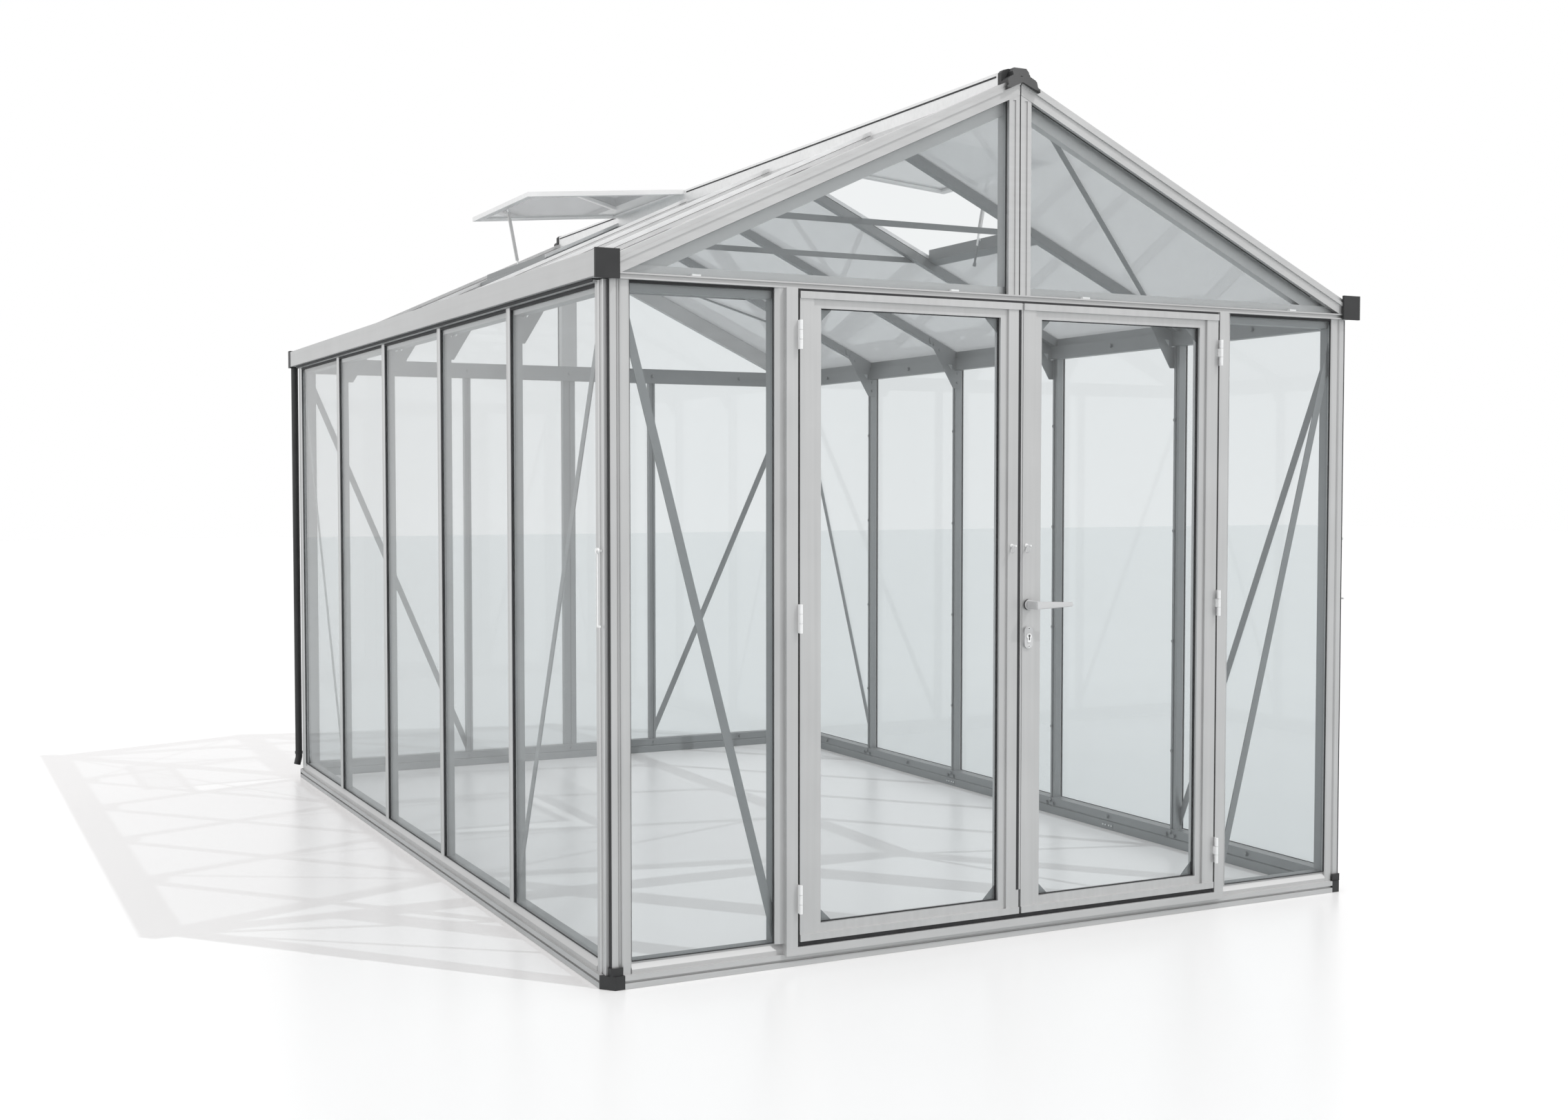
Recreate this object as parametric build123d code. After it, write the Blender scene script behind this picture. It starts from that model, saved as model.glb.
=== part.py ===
from build123d import *
import math
import os

# Greenhouse, aluminium and glass, with a pitched roof, a pair of doors and two roof vents.
# Millimetres. +X runs across the front, +Y into the house and +Z up.
# The origin lies on the ground, under the middle of the whole object.

# Driving sizes
base_width = 2563.0
bay_pitch = 745.0
end_bay = 805.0
side_bays = 5
roof_pitch = 25.0
ridge_height = 2484.0

# Reach of what stands out past the base frame, which sets the origin
lever_reach = 72.0
front_cap_reach = 8.0
ridge_cap_reach = 14.0
rear_cap_reach = 36.0

base_length = 2 * end_bay + (side_bays - 2) * bay_pitch
front = -(base_length + rear_cap_reach + lever_reach) / 2 + lever_reach
back = front + base_length
half = base_width / 2
slope = math.tan(math.radians(roof_pitch))

# Glass
glass_thick = 4.0
glass_plane = 20.0
glass_back = glass_plane + glass_thick
glass_lip = 9.0

# Base frame, with depths measured from its outer face
base_depth = 62.0
rib_height = 36.0
groove_low = 15.0
groove_high = 22.0
groove_depth = 8.0
bead_top = 61.0
bead_flat_top = 47.0
bead_set_back = 10.0
base_inner_height = 66.0
base_wall = 3.0
inner_groove_z = 33.0
foot_front_leg = 58.0
foot_side_leg = 38.0
foot_chamfer_x = 30.0
foot_chamfer_y = 34.0
foot_lap = 12.0
collar_top = 57.0

# Corner posts: two arms, each a face, a groove and a bead, given as (distance along, depth)
post_inset = 26.0
post_width = 55.0
post_inner = 61.0
arm_profile = [(55, 14), (51, 11), (31, 11), (28, 13), (26.5, 18), (23, 20), (20.5, 17), (18, 13.5), (3, 12.5),
               (0, 14)]
post_edge = post_inset + post_width

# Glazing bars of the walls
bar_cap = 25.0
bar_cap_front = 9.0
bar_cap_round = 5.0
bar_web = 8.0
bar_box = 30.0
bar_box_depth = 28.0
bar_groove = 10.0
bar_groove_depth = 3.0
back_bar_x = (-500.0, 0.0, 430.0)
back_centre_width = 60.0

# Doors
leaf_front = -13.0
leaf_thick = 36.0
jamb_inner = 724.5
jamb_width = 34.5
mullion_bead = 25.0
leaf_outer = 718.5
stile_width = 43.0
leaf_bead = 24.0
bead_step = 6.0
leaf_glass_depth = 16.0
meeting_gap = 8.0
recess_edge = -13.0
recess_depth = 4.0
recess_foot = 50.0
leaf_bottom = 70.0
leaf_top = 1835.0
cap_rail = 19.0
cap_proud = 4.0
hinge_axis_y = -25.0
hinge_radius = 5.0
hinge_pin = 2.5
hinge_pin_play = 0.4
hinge_length = 78.0
hinge_heights = (188.0, 953.0, 1718.0)
hinge_plate = 2.0
knuckle_gap = 0.6
sill_top = 55.0
sill_deep = 29.0

# Handle, lock and storm hooks
handle_x = 23.5
handle_z = 969.0
lever_length = 120.0
lever_radius = 8.0
lever_tip_radius = 4.5
lock_drop = 95.0
hook_z = 1144.0
hook_y = 40.0
hook_out = 14.0
hook_length = 190.0
hook_wire = 5.0
eye_radius = 3.0

# Beams and rails at the eaves
beam_depth = 62.0
beam_inner = 29.0
beam_low = 1843.0
beam_top = 1860.0
upstand_top = 1884.0
rail_low = 1815.0
rail_rib_low = 1838.0
rail_rib_top = 1844.0

# Gutters, with distances measured inwards from the side of the base
gutter_outer = -18.0
gutter_inner = 32.0
gutter_low = 1847.0
gutter_top = 1913.0
gutter_inner_top = 1880.0
gutter_wall = 3.0
gutter_lip = 6.0
gutter_cap_low = 1842.0
gutter_cap_top = 1918.0
gutter_cap_inner = 48.0

# Roof, with drops measured down from its upper surface
roof_low = half - 54.0
glass_low = half - 34.0
glass_drop = 14.0
glass_fall = glass_thick / math.cos(math.radians(roof_pitch))
rafter_drop = 50.0
rafter_cap = 24.0
rafter_box = 30.0
ridge_half = 45.0
ridge_low = 50.0
ridge_top = 2507.0
ridge_edge = 2499.0
ridge_flat = 22.0
ridge_start = 46.0
ridge_cap_step = 28.0
ridge_cap_lap = 20.0
end_bar_drop = 53.0
end_bar_inner_drop = 92.0
end_bar_flange = 34.0
gable_post_half = 38.0

# Vents, held open, with distances measured from the ridge line
vent_outer = 700.0
vent_hinge_z = 2501.0
vent_fall = 0.0885
vent_frame = 30.0
vent_thick = 18.0
vent_margin = 10.0
sill_inner_x = 632.0
sill_outer_x = 668.0
sill_upstand = 19.0
stay_radius = 4.0

# Braces, brackets and ties
brace_depth = 26.0
brace_thick = 3.0
plate_thick = 4.0
tie_reach = 598.0
tie_low = 2160.0
tie_high = 2180.0

# Rainwater pipes
pipe_radius = 15.0
pipe_wall = 1.5
pipe_inset = 4.0
pipe_behind = 19.0

os.makedirs("parts", exist_ok=True)


def block(x0, x1, y0, y1, z0, z1):
    """A box between two corners, given in any order."""
    return Pos((x0 + x1) / 2, (y0 + y1) / 2, (z0 + z1) / 2) * Box(abs(x1 - x0), abs(y1 - y0), abs(z1 - z0))


def along_x(points, x0, x1):
    """Extrude an outline drawn in (y, z) from x0 to x1."""
    face = make_face(Polyline(*[Vector(x0, y, z) for y, z in points], close=True))
    return extrude(face, amount=x1 - x0, dir=(1, 0, 0))


def along_y(points, y0, y1):
    """Extrude an outline drawn in (x, z) from y0 to y1."""
    face = make_face(Polyline(*[Vector(x, y0, z) for x, z in points], close=True))
    return extrude(face, amount=y1 - y0, dir=(0, 1, 0))


def upright(points, z0, z1):
    """Extrude an outline drawn in (x, y) from z0 to z1."""
    face = make_face(Polyline(*[Vector(x, y, z0) for x, y in points], close=True))
    return extrude(face, amount=z1 - z0, dir=(0, 0, 1))


def rod(start, end, radius):
    """A round bar between two points."""
    a, b = Vector(*start), Vector(*end)
    return Plane(origin=(a + b) / 2, z_dir=b - a) * Cylinder(radius, (b - a).length)


def front_to_back(shape):
    """The same piece at the other end of the house."""
    return mirror(shape, about=Plane.XZ.offset(-(front + back) / 2))


def side(x_sign, inwards):
    """X of a point given by its distance inwards from the side of the base."""
    return x_sign * (half - inwards)


def roof_z(x):
    """Height of the upper surface of the roof at x."""
    return ridge_height - slope * abs(x)


lines = [front + end_bay + i * bay_pitch for i in range(side_bays - 1)]

# Base frame

rail_outer = [
    (0, 0), (0, groove_low), (groove_depth, groove_low), (groove_depth, groove_high),
    (0, groove_high), (0, rib_height), (bead_set_back, rib_height), (bead_set_back, bead_flat_top),
    (glass_plane, bead_top), (glass_plane, base_inner_height), (base_depth, base_inner_height),
    (base_depth, inner_groove_z + 3), (base_depth - 3, inner_groove_z), (base_depth, inner_groove_z - 3),
    (base_depth, 0),
]
rail_hollow = [
    (groove_depth + base_wall, base_wall), (groove_depth + base_wall, rib_height - base_wall),
    (glass_plane, rib_height - base_wall), (glass_plane + base_wall, base_inner_height - base_wall),
    (base_depth - 3 - base_wall, base_inner_height - base_wall), (base_depth - 3 - base_wall, base_wall),
]


def cross_rail():
    """Rail along the front, between the corner feet, with its bead cut back to the posts."""
    x = half - foot_front_leg
    rail = along_x([(front + y, z) for y, z in rail_outer], -x, x)
    rail -= along_x([(front + y, z) for y, z in rail_hollow], -x, x)
    for sx in (-1, 1):
        rail -= block(side(sx, 0), side(sx, post_edge), front - 1, front + glass_plane, rib_height, base_inner_height)
    return rail


def base_rail_front():
    """Rail across the front, with a flat threshold between the door jambs."""
    rail = cross_rail()
    reach = jamb_inner + jamb_width
    rail -= block(-reach, reach, front - 1, front + sill_deep, rib_height, base_inner_height + 1)
    return rail + block(-reach, reach, front + leaf_front, front + sill_deep, rib_height - base_wall, sill_top)


def base_rail_side(x_sign):
    """Rail along a side, whose outer skin laps over the corner feet."""
    y0, y1 = front + base_depth, back - base_depth
    rail = along_y([(side(x_sign, d), z) for d, z in rail_outer], front + foot_side_leg, back - foot_side_leg)
    rail -= along_y([(side(x_sign, d), z) for d, z in rail_hollow], y0, y1)
    for end, edge in ((y0, post_edge - base_depth), (y1, base_depth - post_edge)):
        out = front if end == y0 else back
        rail -= block(side(x_sign, foot_lap), side(x_sign, base_depth + 1), out, end, 0, base_inner_height)
        rail -= block(side(x_sign, -1), side(x_sign, glass_plane), out, end + edge, rib_height, base_inner_height)
    return rail


base_front = base_rail_front()
base_back = front_to_back(cross_rail())
base_left = base_rail_side(-1)
base_right = base_rail_side(1)


def corner_foot(x_sign):
    """Black corner block with a chamfered corner, and a collar that stands round the edge of the post."""
    def p(x, y):
        return side(x_sign, x), front + y
    a, b = foot_front_leg, foot_side_leg
    plan = [p(foot_chamfer_x, 0), p(a, 0), p(a, base_depth), p(foot_lap, base_depth), p(foot_lap, b), p(0, b),
            p(0, foot_chamfer_y)]
    collar = [p(20, 24), p(20, 9), p(24, 5), p(54, 5), p(54, 11), p(25.5, 11), p(25.5, 24)]
    return upright(plan, 0, rib_height) + upright(collar, rib_height, collar_top)


feet_front = [corner_foot(sx) for sx in (-1, 1)]
feet = feet_front + [front_to_back(f) for f in feet_front]

# Corner posts and front mullions

under_beam = block(gutter_inner - half, half - gutter_inner, front + beam_inner, front + beam_depth,
                   rail_low, beam_low + 1)


def corner_post(x_sign):
    """Corner post: two grooved arms with an open notch between them."""
    def p(x, y):
        return side(x_sign, x), front + y
    i = post_inset
    plan = [p(i + a, d) for a, d in arm_profile] + [p(i, i)]
    plan += [p(d, i + a) for a, d in reversed(arm_profile)]
    plan += [p(post_inner, i + post_width), p(post_inner, post_inner), p(i + post_width, post_inner)]
    post = upright(plan, rib_height, beam_low)
    behind = front + base_depth
    deep = front + 200
    x0, x1 = foot_front_leg - half, half - foot_front_leg
    post -= block(x0, x1, front + glass_plane, deep, rib_height, base_inner_height)
    x0, x1 = glass_plane - half, half - glass_plane
    post -= block(x0, x1, behind, deep, rib_height, base_inner_height)
    post -= block(-half, half, behind, deep, rail_rib_low, beam_low + 1)
    post -= block(glass_back - half, half - glass_back, behind, deep, rail_low, beam_low + 1)
    return post - under_beam


posts_front = [corner_post(sx) for sx in (-1, 1)]
posts_back = [front_to_back(p) for p in posts_front]


def door_jamb(x_sign):
    """Front mullion: a flat jamb strip beside the door and a bevelled bead beside the side light."""
    def p(x, y):
        return x_sign * x, front + y
    a = jamb_inner
    b = jamb_inner + jamb_width
    c = b + mullion_bead
    lip = c - glass_lip
    strip = upright([p(a, leaf_front), p(b, leaf_front), p(b, sill_deep), p(a, sill_deep)], sill_top, beam_low)
    bead = upright([p(b, 2), p(b + 14, 2), p(c, 10), p(c, glass_plane), p(lip, glass_plane), p(lip, glass_back),
                    p(c, glass_back), p(c, base_depth), p(a, base_depth), p(a, sill_deep), p(b, sill_deep)],
                   base_inner_height, beam_low)
    return strip + bead - under_beam


jambs = [door_jamb(sx) for sx in (-1, 1)]

# Wall bars

def bar_outline(width, cap):
    """Glazing bar as (across, depth): a rounded outer cap, a web through the glass and a grooved inner box."""
    c, w, b, g = cap / 2, bar_web / 2, width / 2, bar_groove / 2
    f, r, d = bar_cap_front, bar_cap_round, glass_back + bar_box_depth
    return [
        (r - c, f), (c - r, f), (c, f + r), (c, glass_plane), (w, glass_plane), (w, glass_back), (b, glass_back),
        (b, d), (g, d), (g, d - bar_groove_depth), (-g, d - bar_groove_depth), (-g, d), (-b, d), (-b, glass_back),
        (-w, glass_back), (-w, glass_plane), (-c, glass_plane), (-c, f + r),
    ]


def wall_bar(y, x_sign):
    bar = upright([(side(x_sign, d), y + a) for a, d in bar_outline(bar_box, bar_cap)],
                  base_inner_height, rail_rib_low - 1)
    inside = block(side(x_sign, glass_back), side(x_sign, 100), y - 50, y + 50, rail_low, rail_rib_low)
    return bar - inside


def back_bar(x, width):
    bar = upright([(x + a, back - d) for a, d in bar_outline(width, bar_cap + width - bar_box)],
                  base_inner_height, beam_low)
    inside = block(x - 50, x + 50, back - beam_inner, back - 100, rail_low, beam_low + 1)
    return bar - inside


bars_left = [wall_bar(y, -1) for y in lines]
bars_right = [wall_bar(y, 1) for y in lines]
bars_back = [back_bar(back_bar_x[0], bar_box), back_bar(back_bar_x[1], back_centre_width),
             back_bar(back_bar_x[2], bar_box)]

# Beams and rails at the eaves

beam_front = along_x(
    [(front + y, z) for y, z in (
        (0, beam_low), (0, beam_low + 4), (8, beam_low + 4), (8, beam_top - 4), (0, beam_top - 4), (0, beam_top),
        (glass_back, beam_top), (glass_back, upstand_top), (beam_depth, upstand_top), (beam_depth, rail_low),
        (beam_inner, rail_low), (beam_inner, beam_low),
    )], gutter_inner - half, half - gutter_inner)
beam_back = front_to_back(beam_front)


def eave_rail(x_sign):
    """Eave profile that carries the rafters: a box behind the wall glass and the gutter, with a ledge for the roof."""
    def under(s):
        return roof_z(half - s) - rafter_drop
    def ledge(s):
        return roof_z(half - s) - glass_drop - glass_fall
    a, b = gutter_inner, half - roof_low
    pts = [
        (glass_back, rail_low), (glass_back, rail_rib_top), (a, rail_rib_top), (a, ledge(a)), (b, ledge(b)),
        (b, under(b)), (base_depth, under(base_depth)), (base_depth, rail_low),
    ]
    return along_y([(side(x_sign, s), z) for s, z in pts], front + base_depth, back - base_depth)


eave_left = eave_rail(-1)
eave_right = eave_rail(1)


def gutter(x_sign):
    """Open box gutter along an eave, with a rib under it that closes the top of the wall glass."""
    a, b, w, t = gutter_outer, gutter_inner, gutter_wall, gutter_top
    pts = [
        (a, gutter_low), (a, t), (a + gutter_lip, t), (a + gutter_lip, t - w), (a + w, t - w), (a + w, gutter_low + w),
        (b - w, gutter_low + w), (b - w, gutter_inner_top), (b, gutter_inner_top), (b, gutter_low),
    ]
    channel = along_y([(side(x_sign, s), z) for s, z in pts], front, back)
    y0, y1 = front + base_depth, back - base_depth
    rib = block(side(x_sign, 0), side(x_sign, glass_back), y0, y1, rail_rib_low, rail_rib_top)
    neck = block(side(x_sign, glass_plane), side(x_sign, glass_back), y0, y1, rail_rib_top, gutter_low)
    return channel + rib + neck


gutter_left = gutter(-1)
gutter_right = gutter(1)


def gutter_cap(x_sign, y0, y1):
    """Black end cap of a gutter."""
    pts = [(gutter_outer - 2, gutter_cap_low), (gutter_outer - 2, gutter_cap_top), (gutter_cap_inner, gutter_cap_top),
           (gutter_cap_inner, gutter_cap_low)]
    return along_y([(side(x_sign, s), z) for s, z in pts], y0, y1)


gutter_caps = [gutter_cap(sx, front - front_cap_reach, front) for sx in (-1, 1)]
gutter_caps += [gutter_cap(sx, back, back + rear_cap_reach) for sx in (-1, 1)]

# Roof

def roof_member(x_sign, x0, x1, drop0, drop1, y0, y1):
    """A piece lying along the slope, between two distances from the ridge line and two drops."""
    pts = [(x_sign * x0, roof_z(x0) - drop0), (x_sign * x1, roof_z(x1) - drop0),
           (x_sign * x1, roof_z(x1) - drop1), (x_sign * x0, roof_z(x0) - drop1)]
    return along_y(pts, min(y0, y1), max(y0, y1))


def rafter(x_sign, y):
    """Roof bar: a cap over the glass, a web between the panes and a box under them."""
    c, w, b = rafter_cap / 2, bar_web / 2, rafter_box / 2
    low = glass_drop + glass_fall
    cap = roof_member(x_sign, ridge_half, glass_low, 0, glass_drop, y - c, y + c)
    web = roof_member(x_sign, ridge_half, glass_low, glass_drop, low, y - w, y + w)
    return cap + web + roof_member(x_sign, ridge_half, roof_low, low, rafter_drop, y - b, y + b)


rafters_left = [rafter(-1, y) for y in lines]
rafters_right = [rafter(1, y) for y in lines]

ridge = along_y(
    [(-ridge_half, ridge_edge), (-ridge_flat, ridge_top), (ridge_flat, ridge_top), (ridge_half, ridge_edge),
     (ridge_half, roof_z(ridge_half) - ridge_low), (-ridge_half, roof_z(ridge_half) - ridge_low)],
    front + ridge_start, back - ridge_start)



def cap_slice(outline, foot, y0, y1):
    """A slice of the ridge cap from the right half of its outline and the height of its foot at the middle."""
    return along_y(outline + [(-x, z) for x, z in reversed(outline)] + [(0, foot)], front + y0, front + y1)


def ridge_cap():
    """Black end cap of the ridge: a sleeve, a shouldered head and a lip lapping over the end bars."""
    head = [(50, 2468), (46, 2474), (27, 2485), (28, 2496), (21, ridge_top)]
    lip = [(56, roof_z(56) - ridge_cap_lap), (56, roof_z(56) - 10), (50, roof_z(50) - 8)]
    sleeve = [(50, roof_z(50)), (50, 2494), (43, 2502), (26, ridge_top)]
    cap = cap_slice(lip + head, ridge_height - ridge_cap_lap, -ridge_cap_reach, -2)
    cap += cap_slice([(50, roof_z(50))] + head, ridge_height, -2, ridge_cap_step)
    cap += cap_slice(sleeve, ridge_height, ridge_cap_step, ridge_start)
    leaning = [(front - 20, 2445), (front - ridge_cap_reach, 2445), (front + 8, 2512), (front - 20, 2512)]
    return cap - along_x(leaning, -100, 100)


ridge_cap_front = ridge_cap()
ridge_caps = [ridge_cap_front, front_to_back(ridge_cap_front)]


def gable_frame():
    """The two sloping end bars and the centre post of the front gable, joined."""
    y = front
    shape = block(-gable_post_half, gable_post_half, y + 4, y + ridge_start, beam_top, ridge_height - 40)
    for sx in (-1, 1):
        shape += roof_member(sx, 0, glass_low, 0, end_bar_drop, y + 3, y + glass_back)
        shape += roof_member(sx, 0, half - gutter_cap_inner, 13, 24, y - 2, y + 3)
        shape += roof_member(sx, 0, roof_low, 0, end_bar_drop - 5, y + glass_back, y + base_depth)
        shape += roof_member(sx, 0, roof_low, end_bar_drop - 5, end_bar_inner_drop, y + end_bar_flange, y + base_depth)
    shape += block(-gable_post_half, gable_post_half, y + ridge_start, y + base_depth, upstand_top,
                   roof_z(ridge_half) - ridge_low - 40)
    shape -= block(-half, half, y - 5, y + glass_back, beam_low, beam_top)
    shape -= block(-half, half, y + glass_back, y + base_depth, rail_low, upstand_top)
    shape -= block(-ridge_half, ridge_half, y + ridge_start, y + base_depth, roof_z(ridge_half) - ridge_low,
                   ridge_top)
    shape -= block(-2, 2, y - 5, y + 14, beam_top, ridge_height)
    for sx in (-1, 1):
        shape -= block(sx * 15, sx * 25, y, y + 7, beam_top, ridge_height - 70)
    return shape


gable_front = gable_frame()
gable_back = front_to_back(gable_front)

# Doors

def leaf_frame(x_sign):
    """One door leaf: stiles and rails with a stepped bead round the glass, and a proud cap rail top and bottom."""
    x0, x1 = sorted((x_sign * meeting_gap / 2, x_sign * leaf_outer))
    y0, y1 = front + leaf_front, front + leaf_front + leaf_thick
    z0, z1 = leaf_bottom, leaf_top
    s, b, r = stile_width, leaf_bead, cap_rail
    frame = block(x0, x1, y0, y1, z0, z1)
    frame += block(x0, x1, y0 - cap_proud, y0, z0, z0 + r)
    frame += block(x0, x1, y0 - cap_proud, y0, z1 - r, z1)
    frame -= block(x0 + s, x1 - s, y0, y0 + bead_step, z0 + r, z1 - r)
    frame -= block(x0 + s + b, x1 - s - b, y0, y1, z0 + r + b, z1 - r - b)
    groove = block(x0 + s + b - glass_lip, x1 - s - b + glass_lip, y0 + leaf_glass_depth,
                   y0 + leaf_glass_depth + glass_thick, z0 + r + b - glass_lip, z1 - r - b + glass_lip)
    if x_sign < 0:
        frame -= block(recess_edge, 0, y0, y0 + recess_depth, z0 + r + recess_foot, z1 - r)
    return frame - groove, groove


door_left, door_left_glass = leaf_frame(-1)
door_right, door_right_glass = leaf_frame(1)


def hinge_parts(x_sign):
    """Three butt hinges of one leaf: fixed plates with knuckles and pin, and the leaf's plates with knuckles."""
    axis_x = x_sign * (jamb_inner + leaf_outer) / 2
    axis_y = front + hinge_axis_y
    third = hinge_length / 3
    back_y = front + leaf_front + 28
    fixed, moving = [], []
    for z in hinge_heights:
        low = z - hinge_length / 2
        pin = Pos(axis_x, axis_y, z) * Cylinder(hinge_pin, hinge_length)
        ends = [Pos(axis_x, axis_y, low + third / 2) * Cylinder(hinge_radius, third),
                Pos(axis_x, axis_y, low + hinge_length - third / 2) * Cylinder(hinge_radius, third)]
        plate = block(x_sign * jamb_inner, x_sign * (jamb_inner - hinge_plate), axis_y, back_y,
                      low, low + hinge_length)
        notch = Pos(axis_x, axis_y, z) * Cylinder(hinge_radius + knuckle_gap, third + 2 * knuckle_gap)
        fixed.append(plate + ends[0] + ends[1] - notch + pin)
        leaf = block(x_sign * leaf_outer, x_sign * (leaf_outer + hinge_plate), axis_y, back_y,
                     z - third / 2 + knuckle_gap, z + third / 2 - knuckle_gap)
        knuckle = Pos(axis_x, axis_y, z) * Cylinder(hinge_radius, third - 2 * knuckle_gap)
        moving.append(leaf + knuckle - Pos(axis_x, axis_y, z) * Cylinder(hinge_pin + hinge_pin_play, third))
    return fixed, moving


hinge_fixed_left, hinge_moving_left = hinge_parts(-1)
hinge_fixed_right, hinge_moving_right = hinge_parts(1)

face_y = front + leaf_front
turned = Rot(90, 0, 0)
lock_plate = Pos(handle_x, face_y - 4, handle_z) * turned * Cylinder(15, 8)
escutcheon = extrude(Plane(origin=(handle_x, face_y, handle_z - lock_drop), z_dir=(0, -1, 0)) * Ellipse(33, 15), 5)
lever_y = front - lever_reach + lever_radius
lever = rod((handle_x, face_y - 8.5, handle_z), (handle_x, lever_y, handle_z), lever_radius)
lever += Plane(origin=(handle_x + lever_length / 2, lever_y, handle_z), z_dir=(1, 0, 0)) * Cone(
    lever_radius, lever_tip_radius, lever_length)
lever += Pos(handle_x, lever_y, handle_z) * Sphere(lever_radius)

# Storm hooks, hanging from an eye on the side of each front corner post

def storm_hook(x_sign):
    """Wire hook with a ring round the eye screw and a bent end."""
    x = side(x_sign, 15 - hook_out)
    y = front + hook_y
    ring = Pos(x, y, hook_z) * Rot(0, 90, 0) * (Cylinder(8, hook_wire) - Cylinder(eye_radius + 0.4, hook_wire))
    wire = Pos(x, y, hook_z - 6 - hook_length / 2) * Cylinder(hook_wire / 2, hook_length)
    end = block(x - 2.5, x + 2.5, y - 16, y, hook_z - 8 - hook_length, hook_z - 3 - hook_length)
    return ring + wire + end


def hook_eye(x_sign, post):
    """Eye screw standing out of the post's side, with a head outside the ring."""
    y = front + hook_y
    stem = rod((side(x_sign, 24), y, hook_z), (side(x_sign, -4), y, hook_z), eye_radius)
    head = rod((side(x_sign, -3), y, hook_z), (side(x_sign, -4), y, hook_z), 2 * eye_radius)
    return stem + head - post


hook_left = storm_hook(-1)
hook_right = storm_hook(1)
hook_eyes = [hook_eye(sx, post) for sx, post in zip((-1, 1), posts_front)]

# Roof vents, held open

def vent(x_sign, y0, y1):
    """Vent leaf lifted to nearly level, hinged on the ridge."""
    def leaf(xa, xb, ya, yb, drop, thick):
        za = vent_hinge_z - vent_fall * (xa - ridge_half) - drop
        zb = vent_hinge_z - vent_fall * (xb - ridge_half) - drop
        return along_y([(x_sign * xa, za), (x_sign * xb, zb), (x_sign * xb, zb - thick), (x_sign * xa, za - thick)],
                       ya, yb)
    f, lip = vent_frame, vent_frame - glass_lip
    frame = leaf(ridge_half, vent_outer, y0, y1, 0, vent_thick)
    frame -= leaf(ridge_half + f, vent_outer - f, y0 + f, y1 - f, -1, vent_thick + 2)
    glass = leaf(ridge_half + lip, vent_outer - lip, y0 + lip, y1 - lip, 6, glass_thick)
    return frame - glass, glass


vent_left_lines = (lines[2], lines[3])
vent_right_lines = (lines[0], lines[1])
vent_left, vent_left_glass = vent(-1, vent_left_lines[0] + vent_margin, vent_left_lines[1] - vent_margin)
vent_right, vent_right_glass = vent(1, vent_right_lines[0] + vent_margin, vent_right_lines[1] - vent_margin)


def vent_sill(x_sign, y0, y1):
    """Sill under the free edge of a vent, with an upstand, between two rafters."""
    y0, y1 = y0 + rafter_box / 2, y1 - rafter_box / 2
    flange = roof_member(x_sign, sill_inner_x, sill_outer_x, 2, 22, y0, y1)
    return flange + roof_member(x_sign, sill_inner_x, sill_inner_x + 8, -sill_upstand, 2, y0, y1)


def vent_stay(x_sign, y):
    """Stay rod from the free edge of the vent to the sill, with a bent handle and a peg."""
    top = (x_sign * 664, y, 2434)
    bend = (x_sign * 622, y, 2212)
    tip = (x_sign * 606, y, 2112)
    peg = rod(bend, (x_sign * sill_inner_x, y, 2200), 3)
    knob = rod((x_sign * 607, y, 2118), (x_sign * 605, y, 2106), 6)
    return rod(top, bend, stay_radius) + rod(bend, tip, stay_radius) + knob + peg


vent_sills = [vent_sill(-1, *vent_left_lines), vent_sill(1, *vent_right_lines)]
vent_leaves = (vent_left, vent_right)
vent_stays = [vent_stay(sx, sum(pair) / 2) - leaf - sill
              for sx, pair, leaf, sill in zip((-1, 1), (vent_left_lines, vent_right_lines), vent_leaves, vent_sills)]

# Flat braces in the bays next to each corner

def brace_outline(start, end, rise):
    """A sloping flat bar as (along, height), from high beside a corner post to low beside a bar."""
    return [(start, 1770), (start, 1770 - rise), (end, 76), (end, 76 + rise)]


side_light_edge = jamb_inner + jamb_width + mullion_bead
y0 = front + brace_depth
front_pair = [along_y([(side(sx, s), z) for s, z in brace_outline(post_edge, half - side_light_edge, 96)],
                      y0, y0 + brace_thick) for sx in (-1, 1)]
y0 = back - brace_depth - brace_thick
back_pair = [along_y([(side(sx, s), z) for s, z in brace_outline(post_edge, half - abs(x) - bar_box / 2, 66)],
                     y0, y0 + brace_thick) for sx, x in ((-1, back_bar_x[0]), (1, back_bar_x[2]))]


def side_brace(x_sign):
    x0, x1 = sorted((side(x_sign, brace_depth), side(x_sign, brace_depth + brace_thick)))
    return along_x([(front + s, z) for s, z in brace_outline(post_edge, end_bay - bar_box / 2, 66)], x0, x1)


side_pair = [side_brace(sx) for sx in (-1, 1)]
wall_braces = front_pair + back_pair + side_pair + [front_to_back(b) for b in side_pair]


def roof_brace(x_sign):
    """Flat brace under the roof glass of an end bay, from the ridge to the eave."""
    start = front + base_depth
    end = lines[0] - rafter_box / 2
    plan = [(x_sign * 66, start), (x_sign * 100, start), (x_sign * 1112, end), (x_sign * 1078, end)]
    return upright(plan, rail_low, ridge_top) & roof_member(x_sign, ridge_half, roof_low, 22, 26, start, end)


roof_braces = [roof_brace(sx) for sx in (-1, 1)]
roof_braces += [front_to_back(b) for b in roof_braces]


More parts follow.
